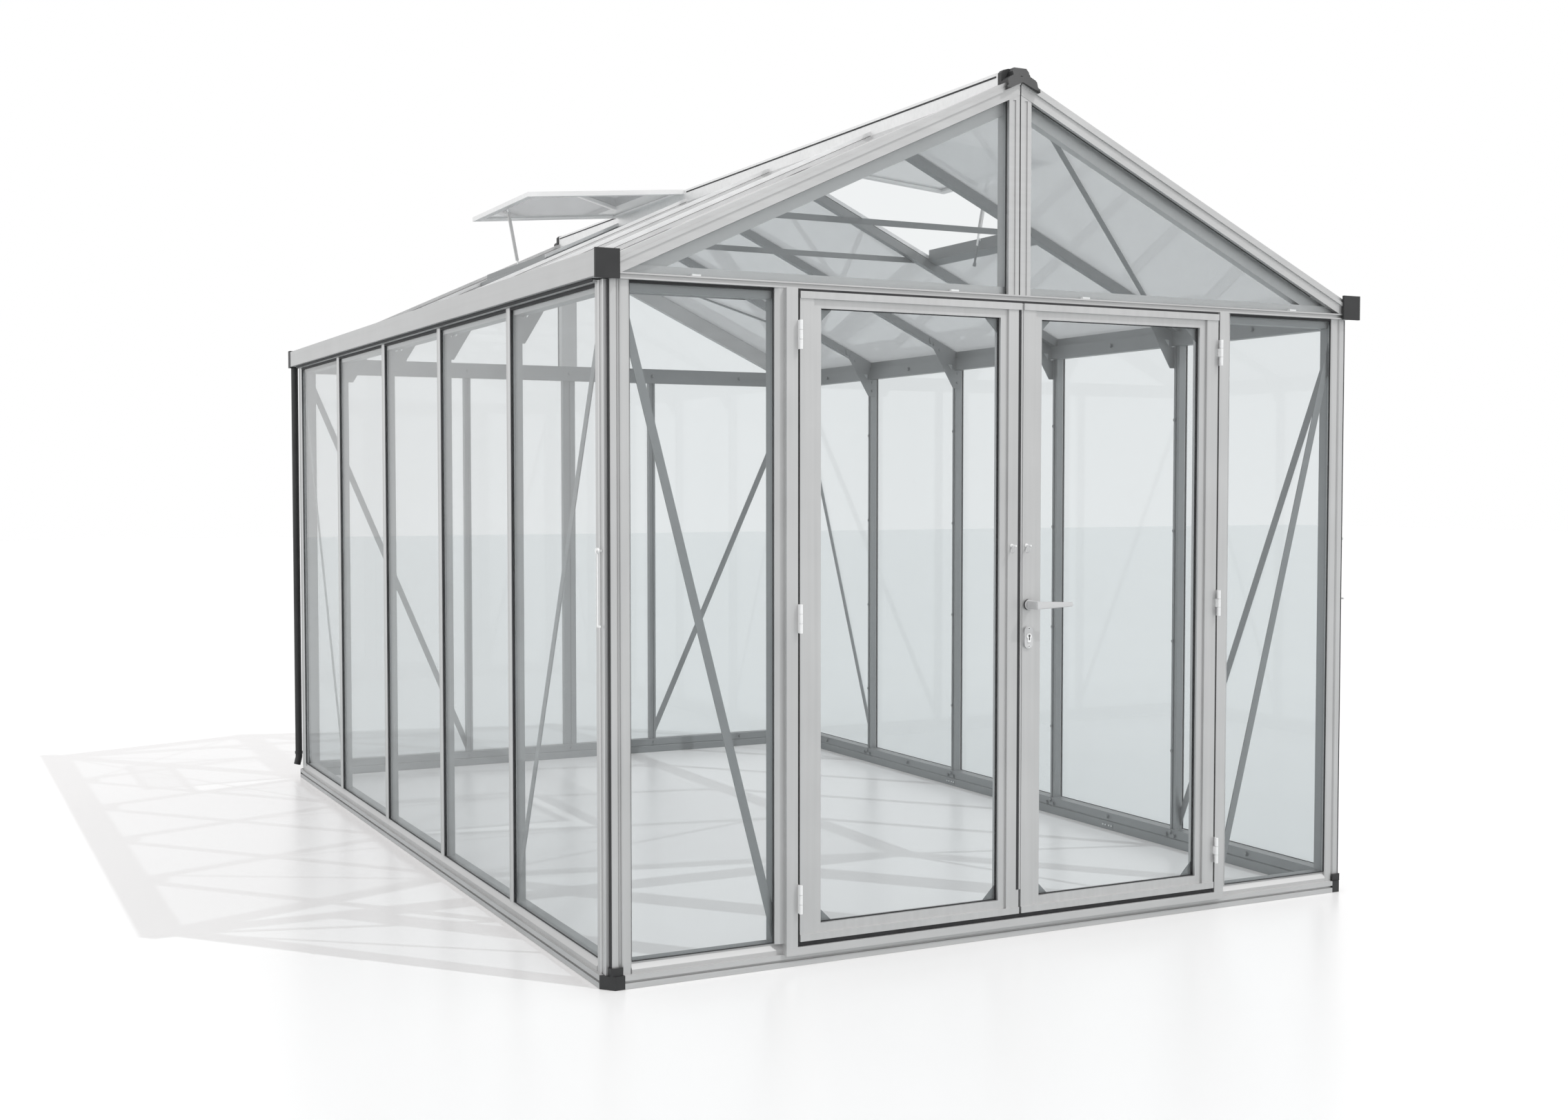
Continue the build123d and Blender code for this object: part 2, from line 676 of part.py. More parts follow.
def knee_bracket(x_sign, y, y_sign):
    """Plate gusset with cut corners and a small hole, from a wall bar to its rafter."""
    pts = [(30, 1736), (70, 1736), (190, 1936), (190, 1950), (64, 1892), (64, 1812), (30, 1812)]
    hole = [(76, 1812), (76, 1838), (96, 1838)]
    near = y + y_sign * bar_box / 2
    y0, y1 = sorted((near, near + y_sign * plate_thick))
    plate = along_y([(side(x_sign, s), z) for s, z in pts], y0, y1)
    return plate - along_y([(side(x_sign, s), z) for s, z in hole], y0, y1)


knee_brackets = [knee_bracket(sx, y, sy) for sx in (-1, 1) for y, sy in zip(lines, (1, 1, -1, -1))]


def collar_tie(y, y_sign):
    """Flat tie between the two rafters of one frame."""
    near = y + y_sign * rafter_box / 2
    return block(-tie_reach, tie_reach, near, near + y_sign * plate_thick, tie_low, tie_high)


collar_ties = [collar_tie(y, sy) for y, sy in zip(lines, (-1, 1, -1, 1))]

# Rainwater pipes at the rear corners

def downpipe(x_sign):
    """Round pipe from the gutter's end cap to an elbow above the ground, with a clip."""
    x, y = side(x_sign, pipe_inset), back + pipe_behind
    toe = (x + x_sign * 8, y, 50)
    knee = (x, y, 84)
    def tube(r):
        return rod(knee, (x, y, gutter_cap_low), r) + Pos(*knee) * Sphere(r) + rod(knee, toe, r)
    pipe = tube(pipe_radius) - tube(pipe_radius - pipe_wall)
    clip = Pos(x, y, 104) * (Cylinder(pipe_radius + 2, 12) - Cylinder(pipe_radius, 12))
    clip += block(x - 6, x + 6, back + 2, back + pipe_behind - pipe_radius, 98, 110)
    return pipe + clip


downpipes = [downpipe(sx) for sx in (-1, 1)]

# Glass

def side_glass(x_sign):
    gap = bar_web / 2
    starts = [front + post_edge] + [y + gap for y in lines]
    ends = [y - gap for y in lines] + [back - post_edge]
    return [block(side(x_sign, glass_plane), side(x_sign, glass_back), a, b, base_inner_height, rail_rib_low)
            for a, b in zip(starts, ends)]


def back_glass():
    gap = bar_web / 2
    edge = half - post_edge
    starts = [-edge] + [x + gap for x in back_bar_x]
    ends = [x - gap for x in back_bar_x] + [edge]
    return [block(a, b, back - glass_back, back - glass_plane, base_inner_height, beam_low)
            for a, b in zip(starts, ends)]


glass_front = [
    block(sx * (side_light_edge - glass_lip), sx * (half - post_edge), front + glass_plane, front + glass_back,
          base_inner_height, beam_low)
    for sx in (-1, 1)
]


def gable_glass():
    top = ridge_height - end_bar_drop
    far = (top - beam_top) / slope
    inner = gable_post_half
    return [along_y([(sx * inner, beam_top), (sx * far, beam_top), (sx * inner, top - slope * inner)],
                    front + glass_plane, front + glass_back) for sx in (-1, 1)]


glass_gable_front = gable_glass()
glass_gable_back = [front_to_back(g) for g in glass_gable_front]


def roof_glass(x_sign, vent_bay):
    gap = bar_web / 2
    starts = [front + base_depth] + [y + gap for y in lines]
    ends = [y - gap for y in lines] + [back - base_depth]
    return [roof_member(x_sign, sill_outer_x if i == vent_bay else ridge_half, glass_low, glass_drop,
                        glass_drop + glass_fall, a, b)
            for i, (a, b) in enumerate(zip(starts, ends))]


parts = {
    "base_front": [base_front], "base_back": [base_back], "base_left": [base_left], "base_right": [base_right],
    "corner_feet": feet, "corner_posts_front": posts_front, "corner_posts_back": posts_back,
    "door_jambs": jambs, "wall_bars_left": bars_left, "wall_bars_right": bars_right, "wall_bars_back": bars_back,
    "beam_front": [beam_front], "beam_back": [beam_back], "eave_rail_left": [eave_left],
    "eave_rail_right": [eave_right], "gutter_left": [gutter_left], "gutter_right": [gutter_right],
    "gutter_caps": gutter_caps, "ridge_beam": [ridge], "ridge_caps": ridge_caps,
    "gable_frame_front": [gable_front], "gable_frame_back": [gable_back],
    "rafters_left": rafters_left, "rafters_right": rafters_right,
    "door_left": [door_left], "door_left_glass": [door_left_glass],
    "door_right": [door_right], "door_right_glass": [door_right_glass],
    "hinges_jamb": hinge_fixed_left + hinge_fixed_right,
    "hinges_leaf_left": hinge_moving_left, "hinges_leaf_right": hinge_moving_right,
    "lock_plate": [lock_plate, escutcheon], "door_handle": [lever],
    "hook_left": [hook_left], "hook_right": [hook_right], "hook_eyes": hook_eyes,
    "vent_left": [vent_left], "vent_left_glass": [vent_left_glass],
    "vent_right": [vent_right], "vent_right_glass": [vent_right_glass], "vent_sills": vent_sills,
    "vent_stays": vent_stays, "wall_braces": wall_braces, "roof_braces": roof_braces,
    "knee_brackets": knee_brackets, "collar_ties": collar_ties, "downpipes": downpipes,
    "glass_left": side_glass(-1), "glass_right": side_glass(1), "glass_back": back_glass(),
    "glass_front": glass_front, "glass_gable_front": glass_gable_front, "glass_gable_back": glass_gable_back,
    "glass_roof_left": roof_glass(-1, 3), "glass_roof_right": roof_glass(1, 1),
}
for name, solids in parts.items():
    shape = solids[0] if len(solids) == 1 else Compound(children=list(solids))
    export_step(shape, f"parts/{name}.step")
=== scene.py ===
"""Finishes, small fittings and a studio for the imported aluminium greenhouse."""
import math

import bmesh
import bpy
from bpy.props import FloatProperty, FloatVectorProperty, IntProperty, PointerProperty
from mathutils import Euler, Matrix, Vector


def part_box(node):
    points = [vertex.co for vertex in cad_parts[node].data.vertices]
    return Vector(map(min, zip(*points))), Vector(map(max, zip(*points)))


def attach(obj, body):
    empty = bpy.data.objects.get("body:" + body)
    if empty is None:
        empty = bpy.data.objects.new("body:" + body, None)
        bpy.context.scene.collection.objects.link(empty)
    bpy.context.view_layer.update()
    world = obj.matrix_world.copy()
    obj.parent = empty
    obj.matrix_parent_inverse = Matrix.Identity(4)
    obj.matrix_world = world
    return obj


bl_info = {
    "name": "Greenhouse dresser",
    "version": (1, 0, 0),
    "blender": (4, 5, 0),
    "location": "3D View > Sidebar > Greenhouse",
    "description": "Gives the greenhouse its finishes, seals, bolts and door fittings, and sets up a studio",
    "category": "Object",
}

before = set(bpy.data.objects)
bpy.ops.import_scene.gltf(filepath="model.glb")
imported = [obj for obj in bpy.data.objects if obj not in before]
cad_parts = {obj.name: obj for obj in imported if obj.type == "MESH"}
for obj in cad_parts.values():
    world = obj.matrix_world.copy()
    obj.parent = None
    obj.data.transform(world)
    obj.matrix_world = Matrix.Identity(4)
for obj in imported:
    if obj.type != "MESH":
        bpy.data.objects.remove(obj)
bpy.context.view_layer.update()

# Where the house stands in the frame, in metres
side_rail_low, side_rail_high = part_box("base_right")
FOOT_LEG = 0.038
FRONT = side_rail_low.y - FOOT_LEG
BACK = side_rail_high.y + FOOT_LEG
HALF = side_rail_high.x
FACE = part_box("door_jambs")[0].y
RIDGE_HEIGHT = 2.484
SLOPE = math.tan(math.radians(25.0))

# Where the panes and their seals lie, in metres
PANE_FACE = 0.016
PANE_SEAL_BACK = 0.0198
PANE_FOOT = 0.0686
SIDE_PANE_HEAD = 1.829
END_PANE_HEAD = 1.8428
GABLE_FOOT = 1.8602
CORNER_BEAD = 0.0812
SIDE_BAR_EDGE = 0.0125
ROOF_BAR_EDGE = 0.012
END_BAR_WIDTH = 0.0622
LEAF_LIP = 0.009
LEDGE_DEPTH = 0.062


def roof_z(x):
    """Height of the roof's upper surface at x."""
    return RIDGE_HEIGHT - SLOPE * abs(x)


# Settings

def colour_setting(name, description, default):
    return FloatVectorProperty(
        name=name, description=description, subtype="COLOR", size=3, min=0, max=1, default=default)


def length_setting(name, description, default):
    return FloatProperty(name=name, description=description, unit="LENGTH", default=default)


class GreenhouseFinishes(bpy.types.PropertyGroup):
    """Colours and surfaces of the house."""
    aluminium: colour_setting("Aluminium", "Colour of the mill finished profiles", (0.585, 0.585, 0.585))
    # Painted light: a lighter copy of the aluminium, so the bars on top of the roof look lit from above
    aluminium_roof_lit: colour_setting(
        "Aluminium roof", "Colour of the bars on top of the roof", (0.86, 0.86, 0.86))
    # Painted shade: a darker copy of the aluminium for the brackets and the profiles behind the panes, which
    # stand in shade
    aluminium_in_shade: colour_setting(
        "Aluminium inside", "Colour of the brackets and of the profiles behind the panes",
        (0.33, 0.34, 0.345))
    aluminium_roughness: FloatProperty(
        name="Aluminium roughness", description="How matt the profiles are", subtype="FACTOR",
        min=0, max=1, default=0.48)
    pane_tint: colour_setting(
        "Pane tint", "What each face of a wall pane lets through", (0.942, 0.952, 0.955))
    roof_tint: colour_setting(
        "Roof tint", "What each face of a roof sheet lets through", (0.84, 0.845, 0.85))
    roof_frost: colour_setting(
        "Roof frost", "Colour of the frosting of a roof sheet", (0.74, 0.745, 0.75))
    roof_haze: FloatProperty(
        name="Roof haze", description="Share of a roof sheet's face that is frosted", subtype="FACTOR",
        min=0, max=1, default=0.55)
    black: colour_setting("Black plastic", "Colour of the feet, caps and pipes", (0.026, 0.026, 0.027))
    rubber: colour_setting("Rubber", "Colour of the seals", (0.03, 0.03, 0.032))
    zinc: colour_setting("Zinc", "Colour of the hinges, hooks and bolts", (0.93, 0.93, 0.93))
    handle: colour_setting("Handle", "Colour of the anodised handle", (0.66, 0.66, 0.665))
    clip: colour_setting("Clip", "Colour of the glazing clips", (0.85, 0.87, 0.87))


class GreenhouseFittings(bpy.types.PropertyGroup):
    """Sizes of the bays and of the small fittings."""
    end_bay: length_setting("End bay", "From the end of the house to the first bar", 0.805)
    bay_pitch: length_setting("Bay pitch", "From bar to bar along the house", 0.745)
    seal_width: length_setting("Seal width", "How far a seal shows beside a bar", 0.0018)
    nut_radius: length_setting("Nut radius", "Across the corners, halved", 0.0072)
    nut_height: length_setting("Nut height", "Height of a nut over its washer", 0.0062)
    washer_radius: length_setting("Washer radius", "Radius of the washer under a nut", 0.0095)
    screw_radius: length_setting("Screw radius", "Radius of a small screw head", 0.0032)
    screw_height: length_setting("Screw height", "Height of a small screw head", 0.0018)
    twist_seed: IntProperty(
        name="Twist seed", description="Seed for how far each nut is turned", default=4, min=0)


class GreenhouseStudio(bpy.types.PropertyGroup):
    """Camera, lamps and floor."""
    camera_back: length_setting("Camera distance", "From the front of the base to the camera", 4.2455)
    camera_side: length_setting("Camera offset", "From the middle of the house to the camera", -2.9046)
    camera_height: length_setting("Camera height", "Height of the camera over the floor", 1.3104)
    camera_turn: FloatProperty(
        name="Camera turn", description="Turn of the camera to the right of straight in", subtype="ANGLE",
        unit="ROTATION", default=math.radians(26.7945))
    camera_dip: FloatProperty(
        name="Camera dip", description="Tilt of the camera below level", subtype="ANGLE", unit="ROTATION",
        default=math.radians(2.387))
    lens: FloatProperty(
        name="Lens", description="Focal length on a 36 mm wide sensor, in millimetres", default=40.518)
    sky: FloatProperty(name="Sky", description="Strength of the soft light all round", default=0.80, min=0)
    sun: FloatProperty(name="Sun", description="Strength of the sun lamp", default=1.3, min=0)
    sun_size: FloatProperty(
        name="Sun size", description="Apparent width of the sun, which softens its shadows", subtype="ANGLE",
        unit="ROTATION", default=math.radians(0.4))
    fill: FloatProperty(
        name="Fill", description="Strength of the broad light from the left", default=0.5, min=0)
    sun_drift: FloatVectorProperty(
        name="Sun direction", description="Which way the sunlight travels", subtype="XYZ", size=3,
        default=(-0.516, 0.60, -1.0))
    floor_colour: colour_setting("Floor", "Colour of the floor", (0.70, 0.725, 0.73))
    floor_lift: colour_setting(
        "Floor lift", "What whitens the floor for the camera, less the more panes are in between",
        (0.22, 0.197, 0.193))


def finishes():
    return bpy.context.scene.greenhouse_finishes


def fittings():
    return bpy.context.scene.greenhouse_fittings


def studio():
    return bpy.context.scene.greenhouse_studio


def bay_lines():
    """Y of the four frames between the bays."""
    f = fittings()
    return [FRONT + f.end_bay + i * f.bay_pitch for i in range(4)]


# Materials

def new_material(name):
    """An empty material with its node tree, links and output."""
    mat = bpy.data.materials.new(name)
    mat.use_nodes = True
    nodes = mat.node_tree.nodes
    nodes.clear()
    out = nodes.new("ShaderNodeOutputMaterial")
    return mat, nodes, mat.node_tree.links, out


def object_noise(nodes, links, scale, detail=3.0, stretch=(1, 1, 1)):
    """Noise on the object's own coordinates, stretched along the profile."""
    where = nodes.new("ShaderNodeTexCoord")
    mapping = nodes.new("ShaderNodeMapping")
    mapping.inputs["Scale"].default_value = stretch
    links.new(where.outputs["Object"], mapping.inputs["Vector"])
    noise = nodes.new("ShaderNodeTexNoise")
    noise.inputs["Scale"].default_value = scale
    noise.inputs["Detail"].default_value = detail
    links.new(mapping.outputs["Vector"], noise.inputs["Vector"])
    return noise.outputs["Fac"]


def ranged(nodes, links, source, low, high):
    """The source remapped from 0.3 to 0.7 onto low to high."""
    node = nodes.new("ShaderNodeMapRange")
    node.inputs["From Min"].default_value = 0.3
    node.inputs["From Max"].default_value = 0.7
    node.inputs["To Min"].default_value = low
    node.inputs["To Max"].default_value = high
    links.new(source, node.inputs["Value"])
    return node.outputs["Result"]


def tinted(nodes, links, source, colour, low, high):
    """A colour that the source lightens and darkens."""
    mix = nodes.new("ShaderNodeMix")
    mix.data_type = "RGBA"
    mix.inputs["A"].default_value = tuple(c * low for c in colour) + (1,)
    mix.inputs["B"].default_value = tuple(min(1, c * high) for c in colour) + (1,)
    links.new(source, mix.inputs["Factor"])
    return mix.outputs["Result"]


def calc(nodes, links, operation, *terms):
    """The outcome of a maths step on sockets and plain numbers."""
    node = nodes.new("ShaderNodeMath")
    node.operation = operation
    for socket, term in zip(node.inputs, terms):
        if isinstance(term, (int, float)):
            socket.default_value = term
        else:
            links.new(term, socket)
    return node.outputs[0]


def ripple(nodes, links, shader, height, strength, distance):
    """A fine relief on the shader's surface."""
    bump = nodes.new("ShaderNodeBump")
    bump.inputs["Strength"].default_value = strength
    bump.inputs["Distance"].default_value = distance
    links.new(height, bump.inputs["Height"])
    links.new(bump.outputs["Normal"], shader.inputs["Normal"])


def shade_mask_behind_glass(nodes, links):
    """1 on what lies behind the line of the panes, 0 on what stands outside it: where metal gets painted
    shade.
    """
    where = nodes.new("ShaderNodeTexCoord")
    split = nodes.new("ShaderNodeSeparateXYZ")
    links.new(where.outputs["Object"], split.inputs["Vector"])
    x, y, z = split.outputs
    depth, drop = 0.0255, 0.0165
    aside = calc(nodes, links, "ABSOLUTE", x)
    under_roof = calc(nodes, links, "MULTIPLY_ADD", aside, -SLOPE, RIDGE_HEIGHT - drop)
    least = calc(nodes, links, "SUBTRACT", HALF - depth, aside)
    for upper, lower in ((y, FRONT + depth), (BACK - depth, y), (under_roof, z)):
        gap = calc(nodes, links, "SUBTRACT", upper, lower)
        least = calc(nodes, links, "MINIMUM", least, gap)
    return calc(nodes, links, "GREATER_THAN", least, 0.0)


def metal(name, colour, roughness, grain, metallic=0.75, inner=None):
    """Mill finished metal with drawing lines along the grain and cloudy patches, with painted shade in the
    given shade colour on what stands behind the panes.
    """
    mat, nodes, links, out = new_material(name)
    shader = nodes.new("ShaderNodeBsdfPrincipled")
    lines = object_noise(nodes, links, 60.0, 4.0, grain)
    clouds = object_noise(nodes, links, 5.0, 2.0)
    half_clouds = calc(nodes, links, "MULTIPLY", clouds, 0.5)
    both = calc(nodes, links, "MULTIPLY_ADD", lines, 0.5, half_clouds)
    spread = ranged(nodes, links, both, 0, 1)
    shade = tinted(nodes, links, spread, colour, 0.93, 1.06)
    # Painted shade: what stands behind the panes takes the darker shade colour
    if inner:
        choose = nodes.new("ShaderNodeMix")
        choose.data_type = "RGBA"
        links.new(shade_mask_behind_glass(nodes, links), choose.inputs["Factor"])
        links.new(shade, choose.inputs["A"])
        links.new(tinted(nodes, links, spread, inner, 0.93, 1.06), choose.inputs["B"])
        shade = choose.outputs["Result"]
    links.new(shade, shader.inputs["Base Color"])
    rough = ranged(nodes, links, both, roughness - 0.05, roughness + 0.06)
    links.new(rough, shader.inputs["Roughness"])
    shader.inputs["Metallic"].default_value = metallic
    ripple(nodes, links, shader, lines, 0.04, 0.0004)
    links.new(shader.outputs["BSDF"], out.inputs["Surface"])
    return mat


def moulded(name, colour, roughness):
    """Plastic or rubber with a fine moulded texture."""
    mat, nodes, links, out = new_material(name)
    shader = nodes.new("ShaderNodeBsdfPrincipled")
    grit = object_noise(nodes, links, 900.0, 2.0)
    clouds = object_noise(nodes, links, 12.0, 2.0)
    spread = ranged(nodes, links, clouds, 0, 1)
    links.new(tinted(nodes, links, spread, colour, 0.85, 1.2), shader.inputs["Base Color"])
    links.new(ranged(nodes, links, grit, roughness - 0.06, roughness + 0.08),
              shader.inputs["Roughness"])
    ripple(nodes, links, shader, grit, 0.15, 0.0003)
    links.new(shader.outputs["BSDF"], out.inputs["Surface"])
    return mat


def frosted(nodes, links, clear, milky, haze):
    """A clear sheet with a share of frosting, which is smaller for the rays that cast shadows."""
    frost = nodes.new("ShaderNodeMixShader")
    frost.inputs[0].default_value = 0.5
    for socket, kind in ((1, "ShaderNodeBsdfDiffuse"), (2, "ShaderNodeBsdfTranslucent")):
        side = nodes.new(kind)
        links.new(milky, side.inputs["Color"])
        links.new(side.outputs["BSDF"], frost.inputs[socket])
    path = nodes.new("ShaderNodeLightPath")
    share = nodes.new("ShaderNodeMapRange")
    share.inputs["To Min"].default_value = haze
    share.inputs["To Max"].default_value = 0.1
    links.new(path.outputs["Is Shadow Ray"], share.inputs["Value"])
    body = nodes.new("ShaderNodeMixShader")
    links.new(share.outputs["Result"], body.inputs[0])
    links.new(clear, body.inputs[1])
    links.new(frost.outputs["Shader"], body.inputs[2])
    return body.outputs["Shader"]


def pane(name, tint, grain_scale, haze=0.0, haze_colour=None):
    """Clear sheet whose faces tint what is behind them and mirror more at a glancing angle."""
    mat, nodes, links, out = new_material(name)
    clear = nodes.new("ShaderNodeBsdfTransparent")
    clouds = object_noise(nodes, links, grain_scale, 3.0)
    spread = ranged(nodes, links, clouds, 0, 1)
    links.new(tinted(nodes, links, spread, tint, 0.995, 1.003), clear.inputs["Color"])
    body = clear.outputs["BSDF"]
    if haze > 0:
        body = frosted(nodes, links, body, tinted(nodes, links, spread, haze_colour, 0.99, 1.01), haze)
    mirror = nodes.new("ShaderNodeBsdfGlossy")
    mirror.inputs["Roughness"].default_value = 0.02
    facing = nodes.new("ShaderNodeLayerWeight")
    facing.inputs["Blend"].default_value = 0.5
    steep = calc(nodes, links, "POWER", facing.outputs["Facing"], 5.0)
    shine = nodes.new("ShaderNodeMixShader")
    links.new(calc(nodes, links, "MULTIPLY_ADD", steep, 0.96, 0.04), shine.inputs[0])
    links.new(body, shine.inputs[1])
    links.new(mirror.outputs["BSDF"], shine.inputs[2])
    links.new(shine.outputs["Shader"], out.inputs["Surface"])
    return mat


FINISH = {}


def build_finishes():
    """All the materials of the house, by the name that the operators use."""
    f = finishes()
    rough = f.aluminium_roughness
    # The darker copy of the aluminium, painted shade for what stands behind the panes
    shade_colour = f.aluminium_in_shade
    across = (0.02, 1, 1)
    FINISH.update(
        upright=metal("aluminium_upright", f.aluminium, rough, (1, 1, 0.02), inner=shade_colour),
        across=metal("aluminium_across", f.aluminium, rough, across, inner=shade_colour),
        gable=metal("aluminium_gable", f.aluminium, rough, across),
        # Painted light on the roof bars, with painted shade on their parts behind the panes
        roof=metal("aluminium_roof_lit", f.aluminium_roof_lit, rough, across, inner=shade_colour),
        base=metal("aluminium_base", f.aluminium, rough + 0.2, across, metallic=0.55, inner=shade_colour),
        along=metal("aluminium_along", f.aluminium, rough, (1, 0.02, 1), inner=shade_colour),
        # Painted shade: the inner sills, braces, brackets, ties, nuts and screws all in the darker aluminium
        inside=metal("aluminium_in_shade", shade_colour, rough + 0.05, (1, 0.3, 0.3)),
        wall_pane=pane("wall_pane", f.pane_tint, 0.7),
        roof_sheet=pane("roof_sheet", f.roof_tint, 9.0, f.roof_haze, f.roof_frost),
        black=moulded("black_plastic", f.black, 0.5),
        rubber=moulded("black_rubber", f.rubber, 0.65),
        zinc=metal("bright_zinc", f.zinc, 0.35, (1, 1, 1), metallic=0.15),
        handle=metal("anodised_handle", f.handle, 0.45, (0.1, 1, 1), metallic=0.4),
        clip=moulded("white_clip", f.clip, 0.4),
    )


def finish_nodes(key, *names):
    """Gives CAD nodes one of the finishes."""
    for name in names:
        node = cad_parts[name]
        node.data.materials.clear()
        node.data.materials.append(FINISH[key])


# Pieces

def add_piece(name, bm, body, key, bevel=0.0):
    """Adds a closed shape as a piece that rides on a body, its edges softened where asked."""
    bmesh.ops.recalc_face_normals(bm, faces=bm.faces)
    if bevel:
        bmesh.ops.bevel(bm, geom=bm.edges[:], offset=bevel, segments=2, affect="EDGES", clamp_overlap=True)
    mesh = bpy.data.meshes.new(name)
    bm.to_mesh(mesh)
    bm.free()
    mesh.materials.append(FINISH[key])
    obj = bpy.data.objects.new(name, mesh)
    bpy.context.scene.collection.objects.link(obj)
    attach(obj, body)


def skin(bm, ends):
    """Closes the space between two like rings of points."""
    bm.faces.new(ends[0])
    bm.faces.new(ends[1][::-1])
    count = len(ends[0])
    for i in range(count):
        j = (i + 1) % count
        bm.faces.new((ends[0][i], ends[0][j], ends[1][j], ends[1][i]))


def prism(bm, outline, extent, axis):
    """Adds an outline, drawn across the axis, pushed along it from extent[0] to extent[1]."""
    def point(a, b, c):
        return {"X": (c, a, b), "Y": (a, c, b), "Z": (a, b, c)}[axis]
    skin(bm, [[bm.verts.new(point(a, b, c)) for a, b in outline] for c in extent])


def rectangle(a0, a1, b0, b1):
    return [(a0, b0), (a1, b0), (a1, b1), (a0, b1)]


def round_outline(x, z, radius, count, start=0, sweep=360):
    """Points of a circle, or of an arc with both its ends."""
    steps = count if sweep == 360 else count - 1
    angles = [math.radians(start + sweep * i / steps) for i in range(count)]
    return [(x + radius * math.cos(a), z + radius * math.sin(a)) for a in angles]


# Geometry Nodes

def new_tree(name, inputs):
    """A modifier tree with geometry in and out and named inputs for its sizes."""
    tree = bpy.data.node_groups.new(name, "GeometryNodeTree")
    tree.is_modifier = True
    tree.interface.new_socket("Points", in_out="INPUT", socket_type="NodeSocketGeometry")
    for label, kind, value in inputs:
        socket = tree.interface.new_socket(label, in_out="INPUT", socket_type=kind)
        if value is not None:
            socket.default_value = value
    tree.interface.new_socket("Geometry", in_out="OUTPUT", socket_type="NodeSocketGeometry")
    start = tree.nodes.new("NodeGroupInput")
    end = tree.nodes.new("NodeGroupOutput")
    return tree, start, end


def named(tree, name):
    """A vector that each point carries."""
    node = tree.nodes.new("GeometryNodeInputNamedAttribute")
    node.data_type = "FLOAT_VECTOR"
    node.inputs["Name"].default_value = name
    return node.outputs["Attribute"]


def finish_tree(tree, start, end, instances):
    """Realizes the instances and gives them the material."""
    real = tree.nodes.new("GeometryNodeRealizeInstances")
    paint = tree.nodes.new("GeometryNodeSetMaterial")
    tree.links.new(instances, real.inputs["Geometry"])
    tree.links.new(real.outputs["Geometry"], paint.inputs["Geometry"])
    tree.links.new(start.outputs["Material"], paint.inputs["Material"])
    tree.links.new(paint.outputs["Geometry"], end.inputs["Geometry"])


def disc(tree, start, radius, depth, sides, foot=None):
    """A disc that stands on the point, or on top of another's depth."""
    cylinder = tree.nodes.new("GeometryNodeMeshCylinder")
    cylinder.inputs["Vertices"].default_value = sides
    tree.links.new(start.outputs[radius], cylinder.inputs["Radius"])
    tree.links.new(start.outputs[depth], cylinder.inputs["Depth"])
    height = calc(tree.nodes, tree.links, "MULTIPLY", start.outputs[depth], 0.5)
    if foot:
        height = calc(tree.nodes, tree.links, "ADD", height, start.outputs[foot])
    shift = tree.nodes.new("ShaderNodeCombineXYZ")
    tree.links.new(height, shift.inputs["Z"])
    move = tree.nodes.new("GeometryNodeTransform")
    tree.links.new(cylinder.outputs["Mesh"], move.inputs["Geometry"])
    tree.links.new(shift.outputs["Vector"], move.inputs["Translation"])
    return move.outputs["Geometry"]


def facing_instances(tree, start, shape, twist):
    """Sets the shape on every point, turned to face the way the point says."""
    place = tree.nodes.new("GeometryNodeInstanceOnPoints")
    align = tree.nodes.new("FunctionNodeAlignRotationToVector")
    align.axis = "Z"
    tree.links.new(named(tree, "facing"), align.inputs["Vector"])
    tree.links.new(start.outputs["Points"], place.inputs["Points"])
    tree.links.new(shape, place.inputs["Instance"])
    turned = align.outputs["Rotation"]
    if twist:
        chance = tree.nodes.new("FunctionNodeRandomValue")
        chance.data_type = "FLOAT"
        chance.inputs["Max"].default_value = math.pi / 3
        for socket in chance.inputs:
            if socket.name == "Seed":
                tree.links.new(start.outputs["Seed"], socket)
        about = tree.nodes.new("FunctionNodeAxisAngleToRotation")
        about.inputs["Axis"].default_value = (0, 0, 1)
        spin = tree.nodes.new("FunctionNodeRotateRotation")
        spin.rotation_space = "LOCAL"
        values = [socket for socket in chance.outputs if socket.enabled]
        tree.links.new(values[0], about.inputs["Angle"])
        tree.links.new(turned, spin.inputs["Rotation"])
        tree.links.new(about.outputs["Rotation"], spin.inputs["Rotate By"])
        turned = spin.outputs["Rotation"]
    tree.links.new(turned, place.inputs["Rotation"])
    return place.outputs["Instances"]


def nut_tree():
    """Hexagon nut on a round washer, on each point."""
    tree, start, end = new_tree("nut_and_washer", [
        ("Nut radius", "NodeSocketFloat", 0.007), ("Nut height", "NodeSocketFloat", 0.006),
        ("Washer radius", "NodeSocketFloat", 0.009), ("Washer height", "NodeSocketFloat", 0.0016),
        ("Seed", "NodeSocketInt", 0), ("Material", "NodeSocketMaterial", None)])
    join = tree.nodes.new("GeometryNodeJoinGeometry")
    washer = disc(tree, start, "Washer radius", "Washer height", 16)
    tree.links.new(washer, join.inputs["Geometry"])
    nut = disc(tree, start, "Nut radius", "Nut height", 6, "Washer height")
    tree.links.new(nut, join.inputs["Geometry"])
    finish_tree(tree, start, end, facing_instances(tree, start, join.outputs["Geometry"], True))
    return tree


def screw_tree():
    """Low round screw head, on each point."""
    tree, start, end = new_tree("screw_head", [
        ("Head radius", "NodeSocketFloat", 0.003), ("Head height", "NodeSocketFloat", 0.002),
        ("Material", "NodeSocketMaterial", None)])
    head = disc(tree, start, "Head radius", "Head height", 12)
    finish_tree(tree, start, end, facing_instances(tree, start, head, False))
    return tree


